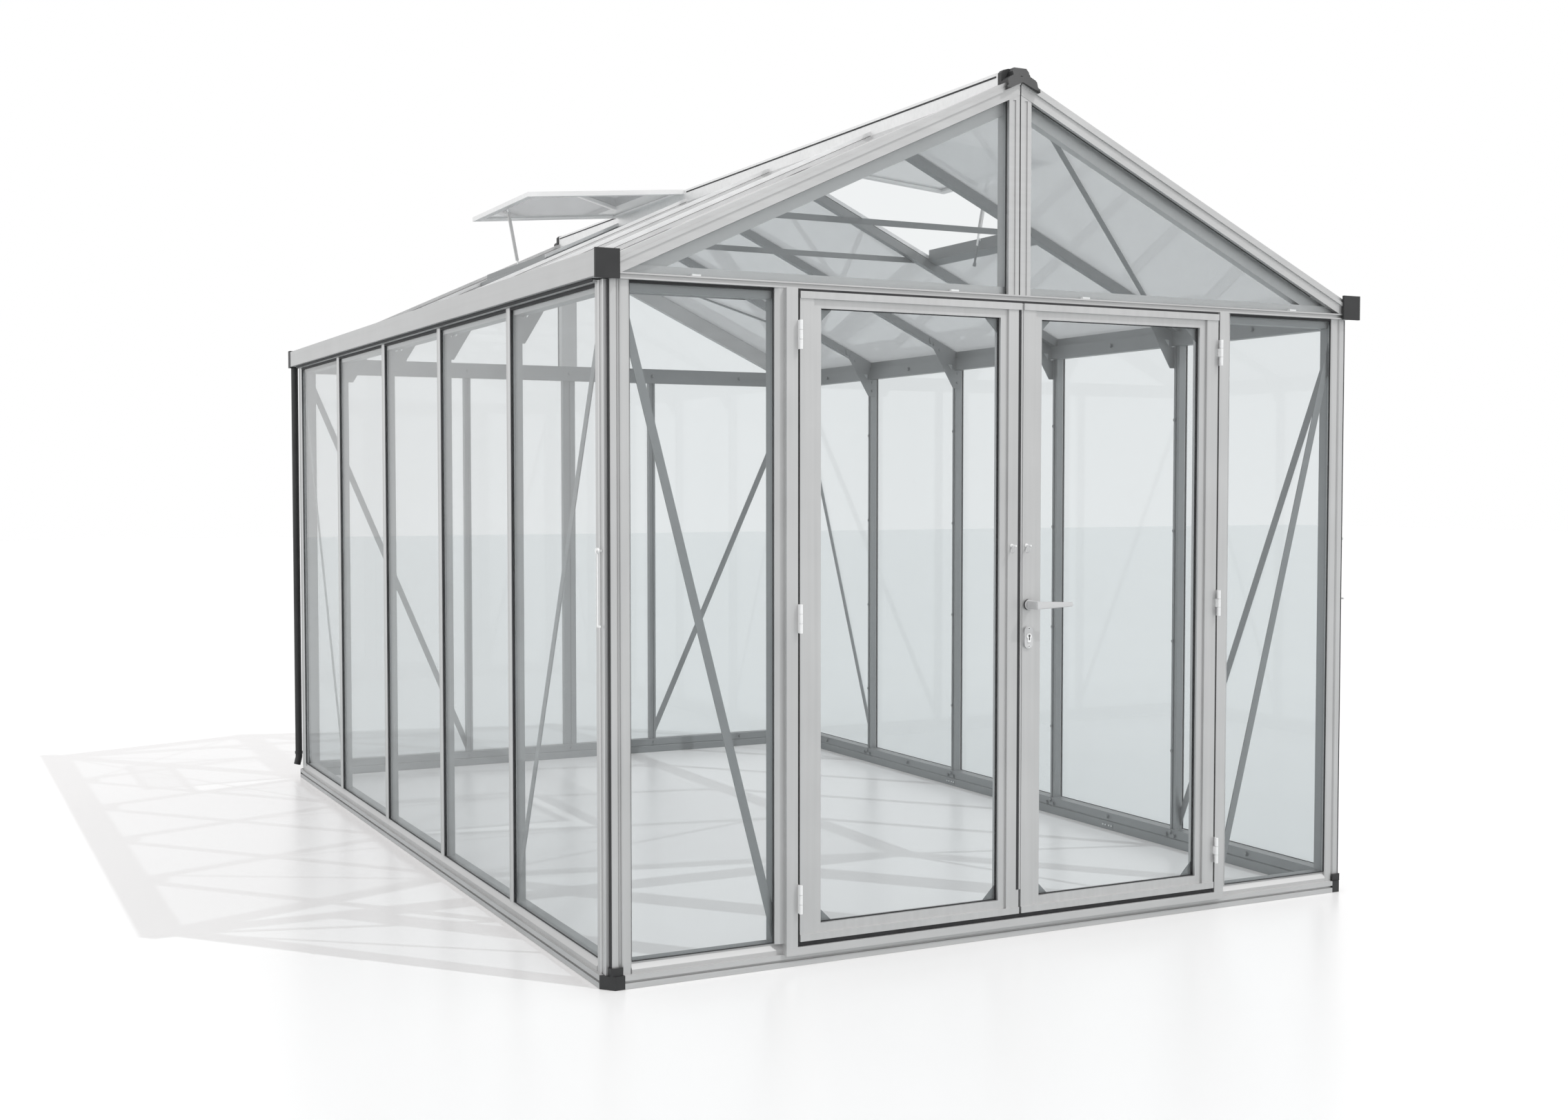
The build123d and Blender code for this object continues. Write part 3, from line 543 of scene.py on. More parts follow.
def strip_tree():
    """A strip on each point, of the size and turn that the point carries."""
    tree, start, end = new_tree("strip_run", [("Material", "NodeSocketMaterial", None)])
    cube = tree.nodes.new("GeometryNodeMeshCube")
    cube.inputs["Size"].default_value = (1, 1, 1)
    place = tree.nodes.new("GeometryNodeInstanceOnPoints")
    turn = tree.nodes.new("FunctionNodeEulerToRotation")
    tree.links.new(named(tree, "turn"), turn.inputs["Euler"])
    tree.links.new(turn.outputs["Rotation"], place.inputs["Rotation"])
    tree.links.new(named(tree, "size"), place.inputs["Scale"])
    tree.links.new(start.outputs["Points"], place.inputs["Points"])
    tree.links.new(cube.outputs["Mesh"], place.inputs["Instance"])
    finish_tree(tree, start, end, place.outputs["Instances"])
    return tree


TREE_MAKERS = {"nut": nut_tree, "screw": screw_tree, "strip": strip_tree}
TREES = {}


def scatter(name, kind, points, carried, body, slot, key, **sizes):
    """Runs one of the trees over the points and keeps the result as a plain mesh."""
    if not points:
        raise RuntimeError(f"{name} has no points")
    if kind not in TREES:
        TREES[kind] = TREE_MAKERS[kind]()
    tree = TREES[kind]
    mesh = bpy.data.meshes.new(name)
    mesh.from_pydata([tuple(p) for p in points], [], [])
    for label, vectors in carried.items():
        attribute = mesh.attributes.new(label, "FLOAT_VECTOR", "POINT")
        attribute.data.foreach_set("vector", [c for v in vectors for c in v])
    obj = bpy.data.objects.new(name, mesh)
    bpy.context.scene.collection.objects.link(obj)
    modifier = obj.modifiers.new("fittings", "NODES")
    modifier.node_group = tree
    wanted = dict(sizes, Material=FINISH[key])
    for item in tree.interface.items_tree:
        if item.item_type == "SOCKET" and item.in_out == "INPUT" and item.name in wanted:
            modifier[item.identifier] = wanted[item.name]
    ready = obj.evaluated_get(bpy.context.evaluated_depsgraph_get())
    plain = bpy.data.meshes.new_from_object(ready)
    obj.modifiers.remove(modifier)
    obj.data = plain
    bpy.data.meshes.remove(mesh)
    plain.name = name
    if not plain.polygons:
        raise RuntimeError(f"{name} came out empty")
    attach(obj, body)


class Strips:
    """Runs of seal or of painted shade, given by two corners or along the roof slope."""

    def __init__(self):
        self.middles, self.sizes, self.turns = [], [], []

    def box(self, x0, x1, y0, y1, z0, z1):
        self.middles.append(((x0 + x1) / 2, (y0 + y1) / 2, (z0 + z1) / 2))
        self.sizes.append((abs(x1 - x0), abs(y1 - y0), abs(z1 - z0)))
        self.turns.append((0, 0, 0))

    def sloped(self, sign, x0, x1, drop0, drop1, y0, y1):
        """Along the roof slope, between two distances from the ridge line and two drops."""
        pitch = math.atan(SLOPE)
        middle = (x0 + x1) / 2
        self.middles.append((sign * middle, (y0 + y1) / 2, roof_z(middle) - (drop0 + drop1) / 2))
        self.sizes.append(((x1 - x0) / math.cos(pitch), abs(y1 - y0), (drop1 - drop0) * math.cos(pitch)))
        self.turns.append((0, sign * pitch, 0))

    def make(self, name, body, slot, key):
        carried = {"size": self.sizes, "turn": self.turns}
        scatter(name, "strip", self.middles, carried, body, slot, key)


class GREENHOUSE_OT_finishes(bpy.types.Operator):
    """Gives every CAD node its finish"""
    bl_idname = "greenhouse.finishes"
    bl_label = "Finishes"

    def execute(self, context):
        build_finishes()
        finish_nodes("upright", "corner_posts_front", "corner_posts_back", "door_jambs", "wall_bars_left",
                     "wall_bars_right", "wall_bars_back", "door_left", "door_right")
        finish_nodes("across", "beam_front", "beam_back")
        # Painted light: the roof bars, ridge, vents and stays in the lighter aluminium
        finish_nodes("roof", "rafters_left", "rafters_right", "ridge_beam", "vent_left", "vent_right",
                     "vent_stays")
        finish_nodes("base", "base_front", "base_back")
        finish_nodes("gable", "gable_frame_front", "gable_frame_back")
        finish_nodes("along", "base_left", "base_right", "gutter_left", "gutter_right", "eave_rail_left",
                     "eave_rail_right")
        # Painted shade: the sills, braces, brackets and ties in the darker aluminium
        finish_nodes("inside", "vent_sills", "wall_braces", "roof_braces", "knee_brackets", "collar_ties")
        finish_nodes("wall_pane", "glass_left", "glass_right", "glass_back", "glass_front",
                     "glass_gable_front", "glass_gable_back", "door_left_glass", "door_right_glass")
        finish_nodes("roof_sheet", "glass_roof_left", "glass_roof_right", "vent_left_glass",
                     "vent_right_glass")
        finish_nodes("black", "corner_feet", "gutter_caps", "ridge_caps", "downpipes")
        finish_nodes("zinc", "hinges_jamb", "hinges_leaf_left", "hinges_leaf_right", "hook_left",
                     "hook_right", "hook_eyes")
        finish_nodes("handle", "lock_plate", "door_handle")
        known = {m.name for m in FINISH.values()}
        bare = [name for name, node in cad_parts.items()
                if not node.data.materials or node.data.materials[0].name not in known]
        if bare:
            raise RuntimeError(f"no finish for {bare}")
        return {"FINISHED"}


def side_wall_seals(seals, sign, w):
    """Round the panes of a side wall, and a black strip of painted shade under its gutter."""
    outer, inner = sign * (HALF - PANE_FACE), sign * (HALF - PANE_SEAL_BACK)
    corner, gutter_end = 0.082, 0.058
    y0, y1 = FRONT + corner, BACK - corner
    seals.box(outer, inner, y0, y1, SIDE_PANE_HEAD, 1.8378)
    # Painted shade: a black strip under the gutter where its underside lies in shade
    x0, x1 = sign * (HALF + 0.002), sign * (HALF + 0.004)
    seals.box(x0, x1, FRONT + gutter_end, BACK - gutter_end, 1.8375, 1.8469)
    seals.box(outer, inner, y0, y1, 0.0662, 0.0685)
    starts = [y + edge for y in bay_lines() for edge in (-SIDE_BAR_EDGE - w, SIDE_BAR_EDGE)]
    for y in starts + [FRONT + CORNER_BEAD, BACK - CORNER_BEAD - w]:
        seals.box(outer, inner, y, y + w, PANE_FOOT, SIDE_PANE_HEAD)


def end_wall_seals(seals, y, way, w):
    """Round the gable and corner panes of an end wall, and black strips in the gaps of its posts; those at
    the corner posts are painted shade.
    """
    y0, y1 = y + way * PANE_FACE, y + way * PANE_SEAL_BACK
    post_side = 0.0382
    for sign in (-1, 1):
        seals.sloped(sign, 0.040, 1.115, 0.0532, 0.0545, y0, y1)
        seals.box(sign * post_side, sign * (post_side + w), y0, y1, GABLE_FOOT, 2.41)
        x0, x1 = sign * (HALF - CORNER_BEAD - w), sign * (HALF - CORNER_BEAD)
        seals.box(x0, x1, y0, y1, PANE_FOOT, END_PANE_HEAD)
        seals.box(sign * 0.0415, sign * 1.18, y0, y1, GABLE_FOOT, GABLE_FOOT + 0.002)
        # Painted shade: a black strip in the shaded gap between the arms of the corner post
        x0, x1 = sign * (HALF - 0.0235), sign * (HALF - 0.0259)
        seals.box(x0, x1, y + way * 0.013, y + way * 0.0255, 0.0572, 1.8418)
    seals.box(-0.0019, 0.0019, y + way * 0.006, y + way * 0.0138, GABLE_FOOT + 0.0003, 2.44)


class GREENHOUSE_OT_wall_seals(bpy.types.Operator):
    """Black seals round the panes of the walls and gables, those beside the sidelights also painting the
    shade of the posts, and black strips of painted shade under the gutters and in the gaps of the corner
    posts
    """
    bl_idname = "greenhouse.wall_seals"
    bl_label = "Wall seals"

    def execute(self, context):
        w = fittings().seal_width
        seals = Strips()
        for sign in (-1, 1):
            side_wall_seals(seals, sign, w)
        for y, way in ((FRONT, 1), (BACK, -1)):
            end_wall_seals(seals, y, way, w)
        y0, y1 = FRONT + PANE_FACE, FRONT + PANE_SEAL_BACK
        mullion, pane_end = 0.7842, 1.2
        # Seals round the sidelight panes, also painted shade for the shaded inner sides of the posts beside
        # them
        for sign in (-1, 1):
            x0, x1 = sign * mullion, sign * pane_end
            seals.box(x0, sign * (mullion + w), y0, y1, PANE_FOOT, END_PANE_HEAD)
            seals.box(x0, x1, y0, y1, 1.836, END_PANE_HEAD)
            seals.box(x0, x1, y0, y1, 0.0662, 0.0685)
        seals.make("wall_seals", "house", "black_plastic", "rubber")
        return {"FINISHED"}


class GREENHOUSE_OT_roof_seals(bpy.types.Operator):
    """Black seals beside the roof bars and the end bars, and a black line of painted shadow along the ridge
    """
    bl_idname = "greenhouse.roof_seals"
    bl_label = "Roof seals"

    def execute(self, context):
        w = fittings().seal_width
        lines = bay_lines()
        vent_sides = {-1: (2, 3), 1: (0, 1)}
        drops, ridge_edge, end_bar_start, vent_foot, eave_edge = (0.0134, 0.0139), 0.046, 0.06, 0.669, 1.246
        vent_gap = 0.0122
        seals = Strips()
        for sign, (near, far) in vent_sides.items():
            for i, y in enumerate(lines):
                for edge, open_bay in ((-ROOF_BAR_EDGE - w, i == far), (ROOF_BAR_EDGE, i == near)):
                    start = vent_foot if open_bay else ridge_edge
                    seals.sloped(sign, start, eave_edge, *drops, y + edge, y + edge + w)
            for y in (FRONT + END_BAR_WIDTH, BACK - END_BAR_WIDTH - w):
                seals.sloped(sign, end_bar_start, eave_edge, *drops, y, y + w)
            # Painted shadow: a black line where the ridge meets the sheets
            for y0, y1 in ((FRONT + END_BAR_WIDTH, lines[near] - vent_gap),
                           (lines[far] + vent_gap, BACK - END_BAR_WIDTH)):
                seals.box(sign * 0.0451, sign * 0.0462, y0, y1, 2.4855, 2.4905)
        seals.make("roof_seals", "house", "black_plastic", "rubber")
        return {"FINISHED"}


def leaf_daylight(side):
    """What a leaf's frame leaves open of its pane, as x0, x1, z0, z1, and the pane's two faces in y."""
    low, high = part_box(f"door_{side}_glass")
    return (low.x + LEAF_LIP, high.x - LEAF_LIP, low.z + LEAF_LIP, high.z - LEAF_LIP), low.y, high.y


class GREENHOUSE_OT_door_seals(bpy.types.Operator):
    """Black brushes round the doorway, black strips of painted shade in the gaps beside the leaves, and
    seals round the panes of the leaves
    """
    bl_idname = "greenhouse.door_seals"
    bl_label = "Door seals"

    def execute(self, context):
        w = fittings().seal_width
        jamb, head, sill = 0.7243, 1.8362, 0.068
        between_hinges = ((0.07, 0.147), (0.229, 0.912), (0.994, 1.677), (1.759, 1.835))
        doorway = Strips()
        doorway.box(-jamb, jamb, FRONT - 0.004, FRONT + 0.024, head, 1.8428)
        doorway.box(-jamb, jamb, FRONT - 0.006, FRONT + 0.02, 0.0552, sill)
        for sign in (-1, 1):
            doorway.box(sign * 0.7202, sign * jamb, FRONT + 0.0165, FRONT + 0.024, sill, head)
            # Painted shade: black strips fill the deep gap between jamb and leaf, between the hinges
            for z0, z1 in between_hinges:
                doorway.box(sign * 0.7195, sign * jamb, FRONT - 0.009, FRONT - 0.005, z0, z1)
        doorway.make("doorway_seals", "house", "black_plastic", "rubber")
        gap = 0.0001
        for side in ("left", "right"):
            (x0, x1, z0, z1), face, back = leaf_daylight(side)
            leaf = Strips()
            for y0, y1 in ((face - 0.0014, face - 0.0002), (back + 0.0002, back + 0.003)):
                leaf.box(x0 + gap, x0 + w, y0, y1, z0, z1)
                leaf.box(x1 - w, x1 - gap, y0, y1, z0, z1)
                leaf.box(x0 + w, x1 - w, y0, y1, z0 + gap, z0 + w)
                leaf.box(x0 + w, x1 - w, y0, y1, z1 - w, z1 - gap)
            leaf.make(f"{side}_leaf_seals", f"{side}_door", "black_plastic", "rubber")
        return {"FINISHED"}


class GREENHOUSE_OT_leaf_fittings(bpy.types.Operator):
    """Corner gussets behind the panes of the leaves, the strip that covers their meeting, and a dark strip
    of painted shade beside it
    """
    bl_idname = "greenhouse.leaf_fittings"
    bl_label = "Leaf fittings"

    def execute(self, context):
        leg, thick, gap = 0.042, 0.0035, 0.0002
        for side in ("left", "right"):
            (x0, x1, z0, z1), _, back = leaf_daylight(side)
            y0 = back + 0.0032
            bm = bmesh.new()
            for x, dx in ((x0 + gap, 1), (x1 - gap, -1)):
                for z, dz in ((z0 + gap, 1), (z1 - gap, -1)):
                    prism(bm, [(x, z), (x + dx * leg, z), (x, z + dz * leg)], (y0, y0 + thick), "Y")
            # Painted shade: the gussets in the darker aluminium
            add_piece(f"{side}_leaf_gussets", bm, f"{side}_door", "inside", bevel=0.0006)
        low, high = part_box("door_right")
        bm = bmesh.new()
        outline = rectangle(-0.002, 0.0042, FACE + 0.002, FACE + 0.0045)
        prism(bm, outline, (low.z + 0.069, high.z - 0.0002), "Z")
        add_piece("meeting_strip", bm, "right_door", "upright", bevel=0.0004)
        # Painted shade: a dark strip on the left leaf for the shaded gap and step where the leaves meet
        bm = bmesh.new()
        outline = rectangle(-0.0128, -0.0042, FACE + 0.0022, FACE + 0.0039)
        prism(bm, outline, (low.z + 0.0692, high.z - 0.0192), "Z")
        add_piece("meeting_shadow_strip", bm, "left_door", "rubber", bevel=0.0003)
        return {"FINISHED"}


class PointList:
    """Places of like fittings, each with the way it faces."""

    def __init__(self):
        self.points, self.facing = [], []

    def add(self, where, way):
        self.points.append(where)
        self.facing.append(way)

    def make(self, name, kind, key, **sizes):
        scatter(name, kind, self.points, {"facing": self.facing}, "house", "bright_metal", key, **sizes)


class GREENHOUSE_OT_base_nuts(bpy.types.Operator):
    """Nuts along the inside of the base and the eaves"""
    bl_idname = "greenhouse.base_nuts"
    bl_label = "Nuts"

    def execute(self, context):
        f = fittings()
        lines = bay_lines()
        middles = [(a + b) / 2 for a, b in zip([FRONT] + lines, lines + [BACK])]
        nuts = PointList()
        for sign in (-1, 1):
            x, inward = sign * (HALF - LEDGE_DEPTH), (-sign, 0, 0)
            for y in lines:
                for dy, z in ((0, 0.055), (-0.022, 0.044), (0.022, 0.044)):
                    nuts.add((x, y + dy, z), inward)
            for z in (0.05, 1.842):
                for y in middles:
                    nuts.add((x, y, z), inward)
        for x in (-0.9, -0.5, 0.0, 0.43, 0.9):
            for z in (0.05, 1.85):
                nuts.add((x, BACK - LEDGE_DEPTH, z), (0, -1, 0))
        # Painted shade: the nuts in the darker aluminium
        nuts.make("frame_nuts", "nut", "inside", **{
            "Nut radius": f.nut_radius, "Nut height": f.nut_height, "Washer radius": f.washer_radius,
            "Washer height": 0.0016, "Seed": f.twist_seed})
        return {"FINISHED"}


class GREENHOUSE_OT_frame_screws(bpy.types.Operator):
    """Screw heads on the brackets, ties, bars and splice plates"""
    bl_idname = "greenhouse.frame_screws"
    bl_label = "Screws"

    def execute(self, context):
        f = fittings()
        lines = bay_lines()
        bracket_face = 0.019
        screws = PointList()
        for sign in (-1, 1):
            for y, out in zip(lines, (1, 1, -1, -1)):
                for d, z in ((0.048, 1.76), (0.048, 1.8), (0.168, 1.925), (0.14, 1.90)):
                    screws.add((sign * (HALF - d), y + out * bracket_face, z), (0, out, 0))
            for y, out in zip(lines, (-1, 1, -1, 1)):
                screws.add((sign * 0.585, y + out * bracket_face, 2.17), (0, out, 0))
            for y in lines:
                for z in (0.35, 0.75, 1.15, 1.55):
                    screws.add((sign * (HALF - 0.052), y + 0.010, z), (-sign, 0, 0))
        # Painted shade: the bracket screws in the darker aluminium
        screws.make("bracket_screws", "screw", "inside", **{"Head radius": 0.0055, "Head height": 0.003})
        half_plate, plate_thick, plate_middle = 0.034, 0.0015, 0.017
        plates, screws = bmesh.new(), PointList()
        for sign in (-1, 1):
            for y in (lines[2] + 0.004, (lines[0] + lines[1]) / 2):
                x = sign * (HALF - LEDGE_DEPTH)
                face = x - sign * plate_thick
                outline = rectangle(y - half_plate, y + half_plate, 0.008, 0.026)
                prism(plates, outline, (x, face), "X")
                for dy in (-0.026, -0.010, 0.010, 0.026):
                    screws.add((face, y + dy, plate_middle), (-sign, 0, 0))
        # Painted shade: the splice plates in the darker aluminium
        add_piece("splice_plates", plates, "house", "inside", bevel=0.0004)
        screws.make("splice_screws", "screw", "zinc",
                    **{"Head radius": f.screw_radius, "Head height": f.screw_height})
        return {"FINISHED"}


class GREENHOUSE_OT_stay_sleeves(bpy.types.Operator):
    """Flat sleeve over the upper length of each vent stay"""
    bl_idname = "greenhouse.stay_sleeves"
    bl_label = "Stay sleeves"

    def execute(self, context):
        lines = bay_lines()
        wide, thick = 0.014, 0.010
        bm = bmesh.new()
        for sign, y in ((-1, (lines[2] + lines[3]) / 2), (1, (lines[0] + lines[1]) / 2)):
            top, bend = Vector((sign * 0.664, y, 2.434)), Vector((sign * 0.622, y, 2.212))
            start, end = bend.lerp(top, 0.06), bend.lerp(top, 0.93)
            side = Vector((0, wide / 2, 0))
            over = (end - start).normalized().cross(Vector((0, 1, 0))) * (thick / 2)
            skin(bm, [[bm.verts.new(p + side * i + over * j) for i, j in rectangle(-1, 1, -1, 1)]
                      for p in (start, end)])
        add_piece("stay_sleeves", bm, "house", "gable", bevel=0.0008)
        return {"FINISHED"}


class GREENHOUSE_OT_glazing_clips(bpy.types.Operator):
    """Small white clips under the gable panes"""
    bl_idname = "greenhouse.glazing_clips"
    bl_label = "Glazing clips"

    def execute(self, context):
        bm = bmesh.new()
        half_clip = 0.013
        for x in (-1.015, -0.218, 0.236, 1.031):
            outline = rectangle(x - half_clip, x + half_clip, FRONT + 0.003, FRONT + 0.0158)
            prism(bm, outline, (GABLE_FOOT, 1.8655), "Z")
        add_piece("glazing_clips", bm, "house", "clip", bevel=0.0008)
        return {"FINISHED"}


def ring_of(bm, middle, ways, big, small, turns=24, tube=8):
    """Adds a round wire ring whose turn lies in the plane of the two ways."""
    first, second = ways
    out = first.cross(second)
    rows = []
    for a, b in round_outline(0, 0, 1, turns):
        spoke = first * a + second * b
        rows.append([bm.verts.new(middle + spoke * (big + a) + out * b)
                     for a, b in round_outline(0, 0, small, tube)])
    for i in range(turns):
        for j in range(tube):
            a, b, k = rows[i], rows[(i + 1) % turns], (j + 1) % tube
            bm.faces.new((a[j], a[k], b[k], b[j]))


def keyhole_pieces():
    """Cover of the keyhole, with the key cylinder and two screws, and black discs that paint the shade in
    the keyway and the screw recesses.
    """
    low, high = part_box("lock_plate")
    x, z = (low.x + high.x) / 2, low.z + 0.033
    face = FACE - 0.005
    cover_face = face - 0.0012
    cover = bmesh.new()
    half_wide, end_rise, end_middle = 0.0145, 0.0135, 0.019
    top = [(x + half_wide * a, z + end_middle + end_rise * b) for a, b in round_outline(0, 0, 1, 13, 0, 180)]
    prism(cover, top + [(2 * x - a, 2 * z - b) for a, b in top], (face, cover_face), "Y")
    add_piece("keyhole_cover", cover, "right_door", "handle", bevel=0.0005)
    screw_reach = (-0.0255, 0.0255)
    barrel = bmesh.new()
    neck, neck_top, neck_foot = 0.005, z - 0.006, z - 0.014
    outline = round_outline(x, z + 0.004, 0.0085, 16, -60, 300)
    outline += [(x - neck, neck_top), (x - neck, neck_foot), (x + neck, neck_foot), (x + neck, neck_top)]
    prism(barrel, outline, (cover_face, cover_face - 0.003), "Y")
    for dz in screw_reach:
        prism(barrel, round_outline(x, z + dz, 0.0042, 16), (cover_face, cover_face - 0.0014), "Y")
    add_piece("key_cylinder", barrel, "right_door", "zinc", bevel=0.0004)
    # Painted shade: thin black discs stand for the dark insides of the keyway and the screw recesses
    hole_shade = bmesh.new()
    slot = (cover_face - 0.00305, cover_face - 0.0034)
    prism(hole_shade, round_outline(x, z + 0.0045, 0.0034, 16), slot, "Y")
    prism(hole_shade, rectangle(x - 0.0016, x + 0.0016, z - 0.008, z + 0.0006), slot, "Y")
    for dz in screw_reach:
        prism(hole_shade, round_outline(x, z + dz, 0.0019, 12), (cover_face - 0.00145, cover_face - 0.0017), "Y")
    add_piece("key_slot_shade", hole_shade, "right_door", "rubber")


def lever_pieces():
    """Flat grip over the lever, its square stem, and the dark ring round the rose."""
    low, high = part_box("door_handle")
    x0, x1, z = low.x + 0.008, high.x, (low.z + high.z) / 2
    y = low.y + 0.008
    grip = bmesh.new()
    sections = ((x0 - 0.0088, 0.0084, 0.0115), (x1 + 0.0006, 0.0052, 0.006))
    skin(grip, [[grip.verts.new((at, y + a * deep, z + b * tall)) for a, b in rectangle(-1, 1, -1, 1)]
                for at, deep, tall in sections])
    add_piece("lever_grip", grip, "handle", "handle", bevel=0.0022)
    stem = bmesh.new()
    outline = rectangle(x0 - 0.0088, x0 + 0.0088, z - 0.0112, z + 0.0112)
    prism(stem, outline, (y + 0.004, FACE - 0.0086), "Y")
    add_piece("lever_stem", stem, "handle", "handle", bevel=0.002)
    ring = bmesh.new()
    prism(ring, round_outline(x0, z, 0.0156, 32), (FACE - 0.0002, FACE - 0.0074), "Y")
    add_piece("rose_ring", ring, "right_door", "black", bevel=0.0008)


class GREENHOUSE_OT_lock(bpy.types.Operator):
    """Cover of the keyhole with its cylinder and screws, and the flat grip of the lever"""
    bl_idname = "greenhouse.lock"
    bl_label = "Lock and lever"

    def execute(self, context):
        keyhole_pieces()
        lever_pieces()
        return {"FINISHED"}


class GREENHOUSE_OT_screw_eyes(bpy.types.Operator):
    """Screw eyes of the two leaves, with their rings hanging down"""
    bl_idname = "greenhouse.screw_eyes"
    bl_label = "Screw eyes"

    def execute(self, context):
        stem, eye_z, big, small = 0.024, 1.14, 0.0105, 0.0011
        for side, eye_x in (("left", -0.034), ("right", 0.017)):
            bm = bmesh.new()
            prism(bm, round_outline(eye_x, eye_z, 0.0027, 12), (FACE, FACE - stem), "Y")
            prism(bm, round_outline(eye_x, eye_z, 0.0055, 16), (FACE, FACE - 0.0025), "Y")
            add_piece(f"{side}_screw_eye", bm, f"{side}_door", "zinc")
            bm = bmesh.new()
            middle = Vector((eye_x - 0.0025, FACE - 0.0125, eye_z - big))
            ring_of(bm, middle, (Vector((0, 1, 0)), Vector((0.24, 0, 0.97))), big, small)
            add_piece(f"{side}_eye_ring", bm, f"{side}_door", "handle")
        return {"FINISHED"}


def pale_floor(s):
    """Floor that the camera sees whitened, less so the more panes are in between."""
    mat, nodes, links, out = new_material("pale_floor")
    shader = nodes.new("ShaderNodeBsdfPrincipled")
    clouds = object_noise(nodes, links, 0.8, 2.0)
    spread = ranged(nodes, links, clouds, 0, 1)
    links.new(tinted(nodes, links, spread, s.floor_colour, 0.99, 1.01), shader.inputs["Base Color"])
    shader.inputs["Roughness"].default_value = 0.28
    glow = nodes.new("ShaderNodeEmission")
    glow.inputs["Color"].default_value = tuple(s.floor_lift) + (1,)
    seen = nodes.new("ShaderNodeLightPath")
    bare = nodes.new("ShaderNodeMapRange")
    for label, value in (("From Min", 1), ("From Max", 4), ("To Min", 1), ("To Max", 0)):
        bare.inputs[label].default_value = value
    links.new(seen.outputs["Transparent Depth"], bare.inputs["Value"])
    lift = calc(nodes, links, "MULTIPLY", seen.outputs["Is Camera Ray"], bare.outputs["Result"])
    links.new(lift, glow.inputs["Strength"])
    both = nodes.new("ShaderNodeAddShader")
    links.new(shader.outputs["BSDF"], both.inputs[0])
    links.new(glow.outputs["Emission"], both.inputs[1])
    links.new(both.outputs["Shader"], out.inputs["Surface"])
    return mat


def studio_world(s):
    """Soft light all round, which the camera, mirrors and glass see as white."""
    world = bpy.data.worlds.new("studio_sky")
    world.use_nodes = True
    nodes, links = world.node_tree.nodes, world.node_tree.links
    nodes.clear()
    out = nodes.new("ShaderNodeOutputWorld")
    light = nodes.new("ShaderNodeBackground")
    light.inputs["Strength"].default_value = s.sky
    shown = nodes.new("ShaderNodeBackground")
    path = nodes.new("ShaderNodeLightPath")
    total = path.outputs["Is Camera Ray"]
    for name in ("Is Glossy Ray", "Is Transmission Ray"):
        total = calc(nodes, links, "MAXIMUM", total, path.outputs[name])
    for ground in (light, shown):
        ground.inputs["Color"].default_value = (1, 1, 1, 1)
    mix = nodes.new("ShaderNodeMixShader")
    links.new(total, mix.inputs[0])
    links.new(light.outputs["Background"], mix.inputs[1])
    links.new(shown.outputs["Background"], mix.inputs[2])
    links.new(mix.outputs["Shader"], out.inputs["Surface"])
    return world


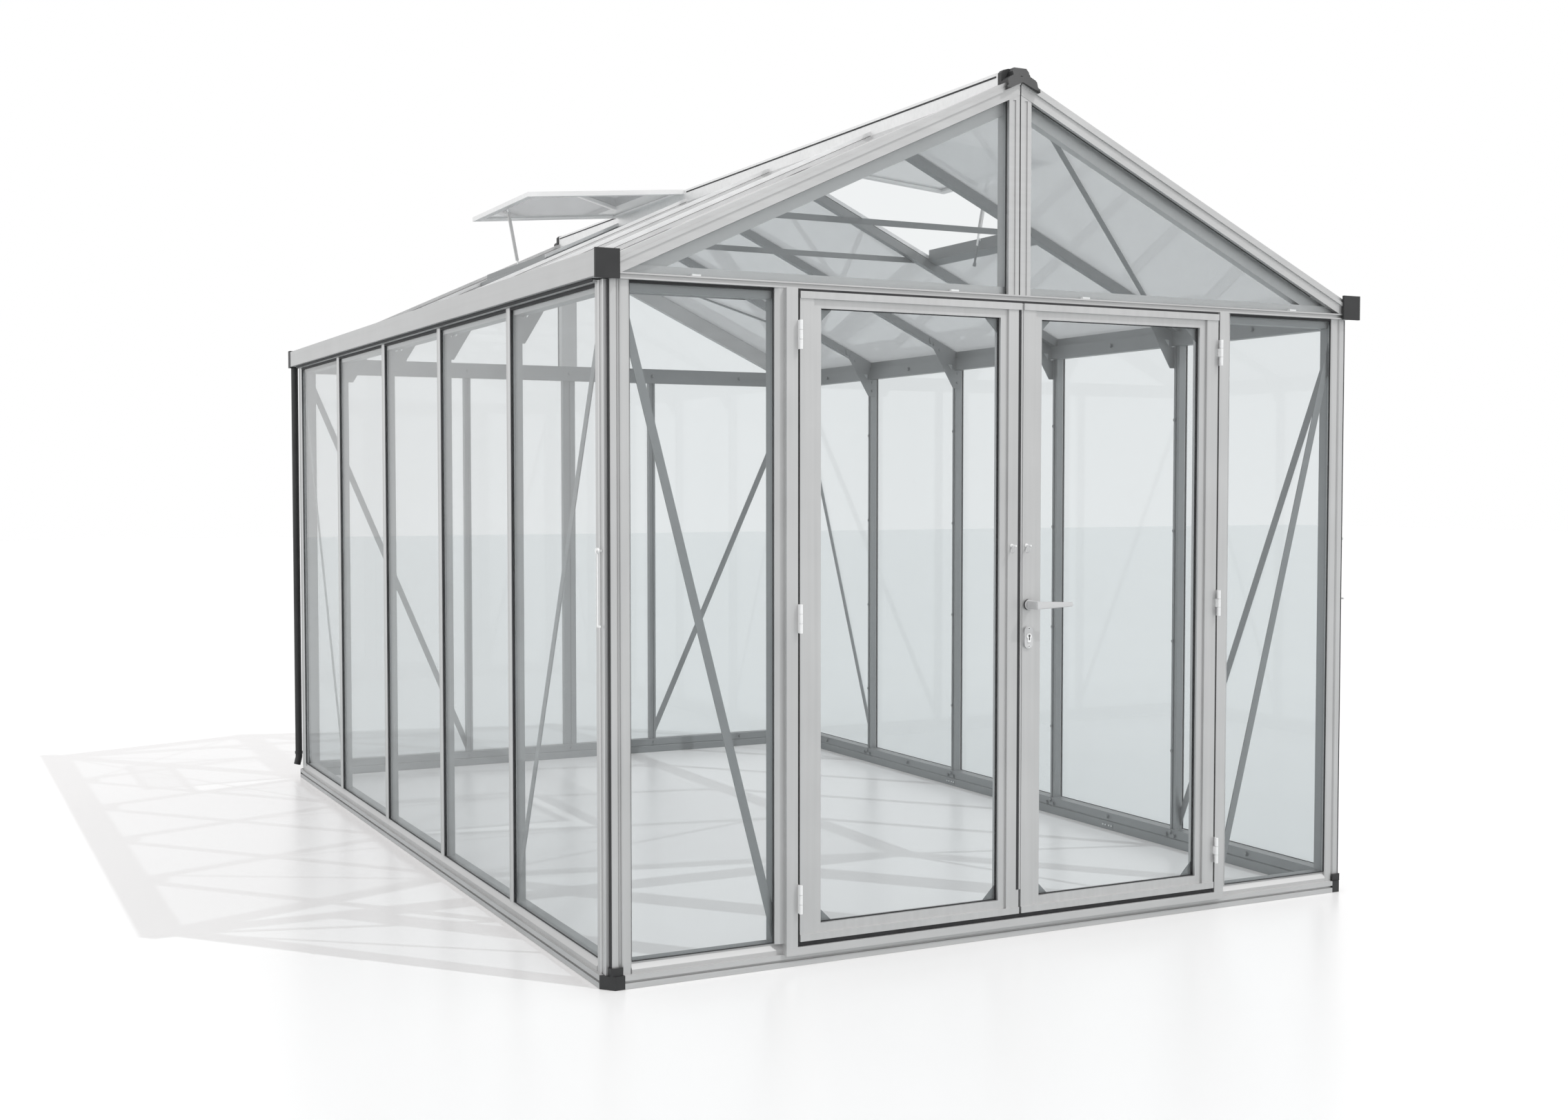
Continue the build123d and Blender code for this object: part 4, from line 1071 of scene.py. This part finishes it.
class GREENHOUSE_OT_stage(bpy.types.Operator):
    """Floor, sky, sun and camera"""
    bl_idname = "greenhouse.stage"
    bl_label = "Studio"

    def execute(self, context):
        s = studio()
        scene = context.scene
        floor_reach, floor_drop = 40, 0.0005
        bm = bmesh.new()
        bmesh.ops.create_grid(bm, x_segments=8, y_segments=8, size=floor_reach)
        mesh = bpy.data.meshes.new("studio_floor")
        bm.to_mesh(mesh)
        bm.free()
        floor = bpy.data.objects.new("studio_floor", mesh)
        floor.location.z = -floor_drop
        scene.collection.objects.link(floor)
        mesh.materials.append(pale_floor(s))
        scene.world = studio_world(s)

        fill_size, fill_drift = math.radians(50), (1, 0, -0.1)
        for name, energy, angle, drift in (("sun", s.sun, s.sun_size, s.sun_drift),
                                           ("fill", s.fill, fill_size, fill_drift)):
            lamp = bpy.data.lights.new(name, "SUN")
            lamp.energy = energy
            lamp.angle = angle
            light = bpy.data.objects.new(name, lamp)
            light.rotation_euler = Vector(drift).to_track_quat("-Z", "Y").to_euler()
            light.location = Vector(drift) * -8
            scene.collection.objects.link(light)

        lens = bpy.data.cameras.new("camera")
        lens.lens = s.lens
        lens.sensor_width = 36
        lens.clip_end = 200
        camera = bpy.data.objects.new("camera", lens)
        camera.location = (s.camera_side, FRONT - s.camera_back, s.camera_height)
        camera.rotation_euler = Euler((math.pi / 2 - s.camera_dip, 0, -s.camera_turn))
        scene.collection.objects.link(camera)
        scene.camera = camera
        scene.view_settings.view_transform = "Standard"
        scene.cycles.transparent_max_bounces = 32
        return {"FINISHED"}


class GREENHOUSE_PT_panel(bpy.types.Panel):
    """Lists the settings and the steps"""
    bl_label = "Greenhouse"
    bl_space_type = "VIEW_3D"
    bl_region_type = "UI"
    bl_category = "Greenhouse"

    def draw(self, context):
        scene = context.scene
        for group in (scene.greenhouse_finishes, scene.greenhouse_fittings, scene.greenhouse_studio):
            box = self.layout.box()
            for name in group.bl_rna.properties.keys():
                if name not in ("rna_type", "name"):
                    box.prop(group, name)
        for operator in OPERATORS:
            self.layout.operator(operator.bl_idname)


OPERATORS = (
    GREENHOUSE_OT_finishes,
    GREENHOUSE_OT_wall_seals,
    GREENHOUSE_OT_roof_seals,
    GREENHOUSE_OT_door_seals,
    GREENHOUSE_OT_leaf_fittings,
    GREENHOUSE_OT_base_nuts,
    GREENHOUSE_OT_frame_screws,
    GREENHOUSE_OT_stay_sleeves,
    GREENHOUSE_OT_glazing_clips,
    GREENHOUSE_OT_lock,
    GREENHOUSE_OT_screw_eyes,
    GREENHOUSE_OT_stage,
)
GROUPS = (GreenhouseFinishes, GreenhouseFittings, GreenhouseStudio)


def register():
    for cls in GROUPS + OPERATORS + (GREENHOUSE_PT_panel,):
        bpy.utils.register_class(cls)
    bpy.types.Scene.greenhouse_finishes = PointerProperty(type=GreenhouseFinishes)
    bpy.types.Scene.greenhouse_fittings = PointerProperty(type=GreenhouseFittings)
    bpy.types.Scene.greenhouse_studio = PointerProperty(type=GreenhouseStudio)


def unregister():
    del bpy.types.Scene.greenhouse_finishes
    del bpy.types.Scene.greenhouse_fittings
    del bpy.types.Scene.greenhouse_studio
    for cls in reversed(GROUPS + OPERATORS + (GREENHOUSE_PT_panel,)):
        bpy.utils.unregister_class(cls)


def main():
    """Runs every step in order."""
    register()
    for operator in OPERATORS:
        group, name = operator.bl_idname.split(".")
        getattr(getattr(bpy.ops, group), name)()


if __name__ == "__main__":
    main()
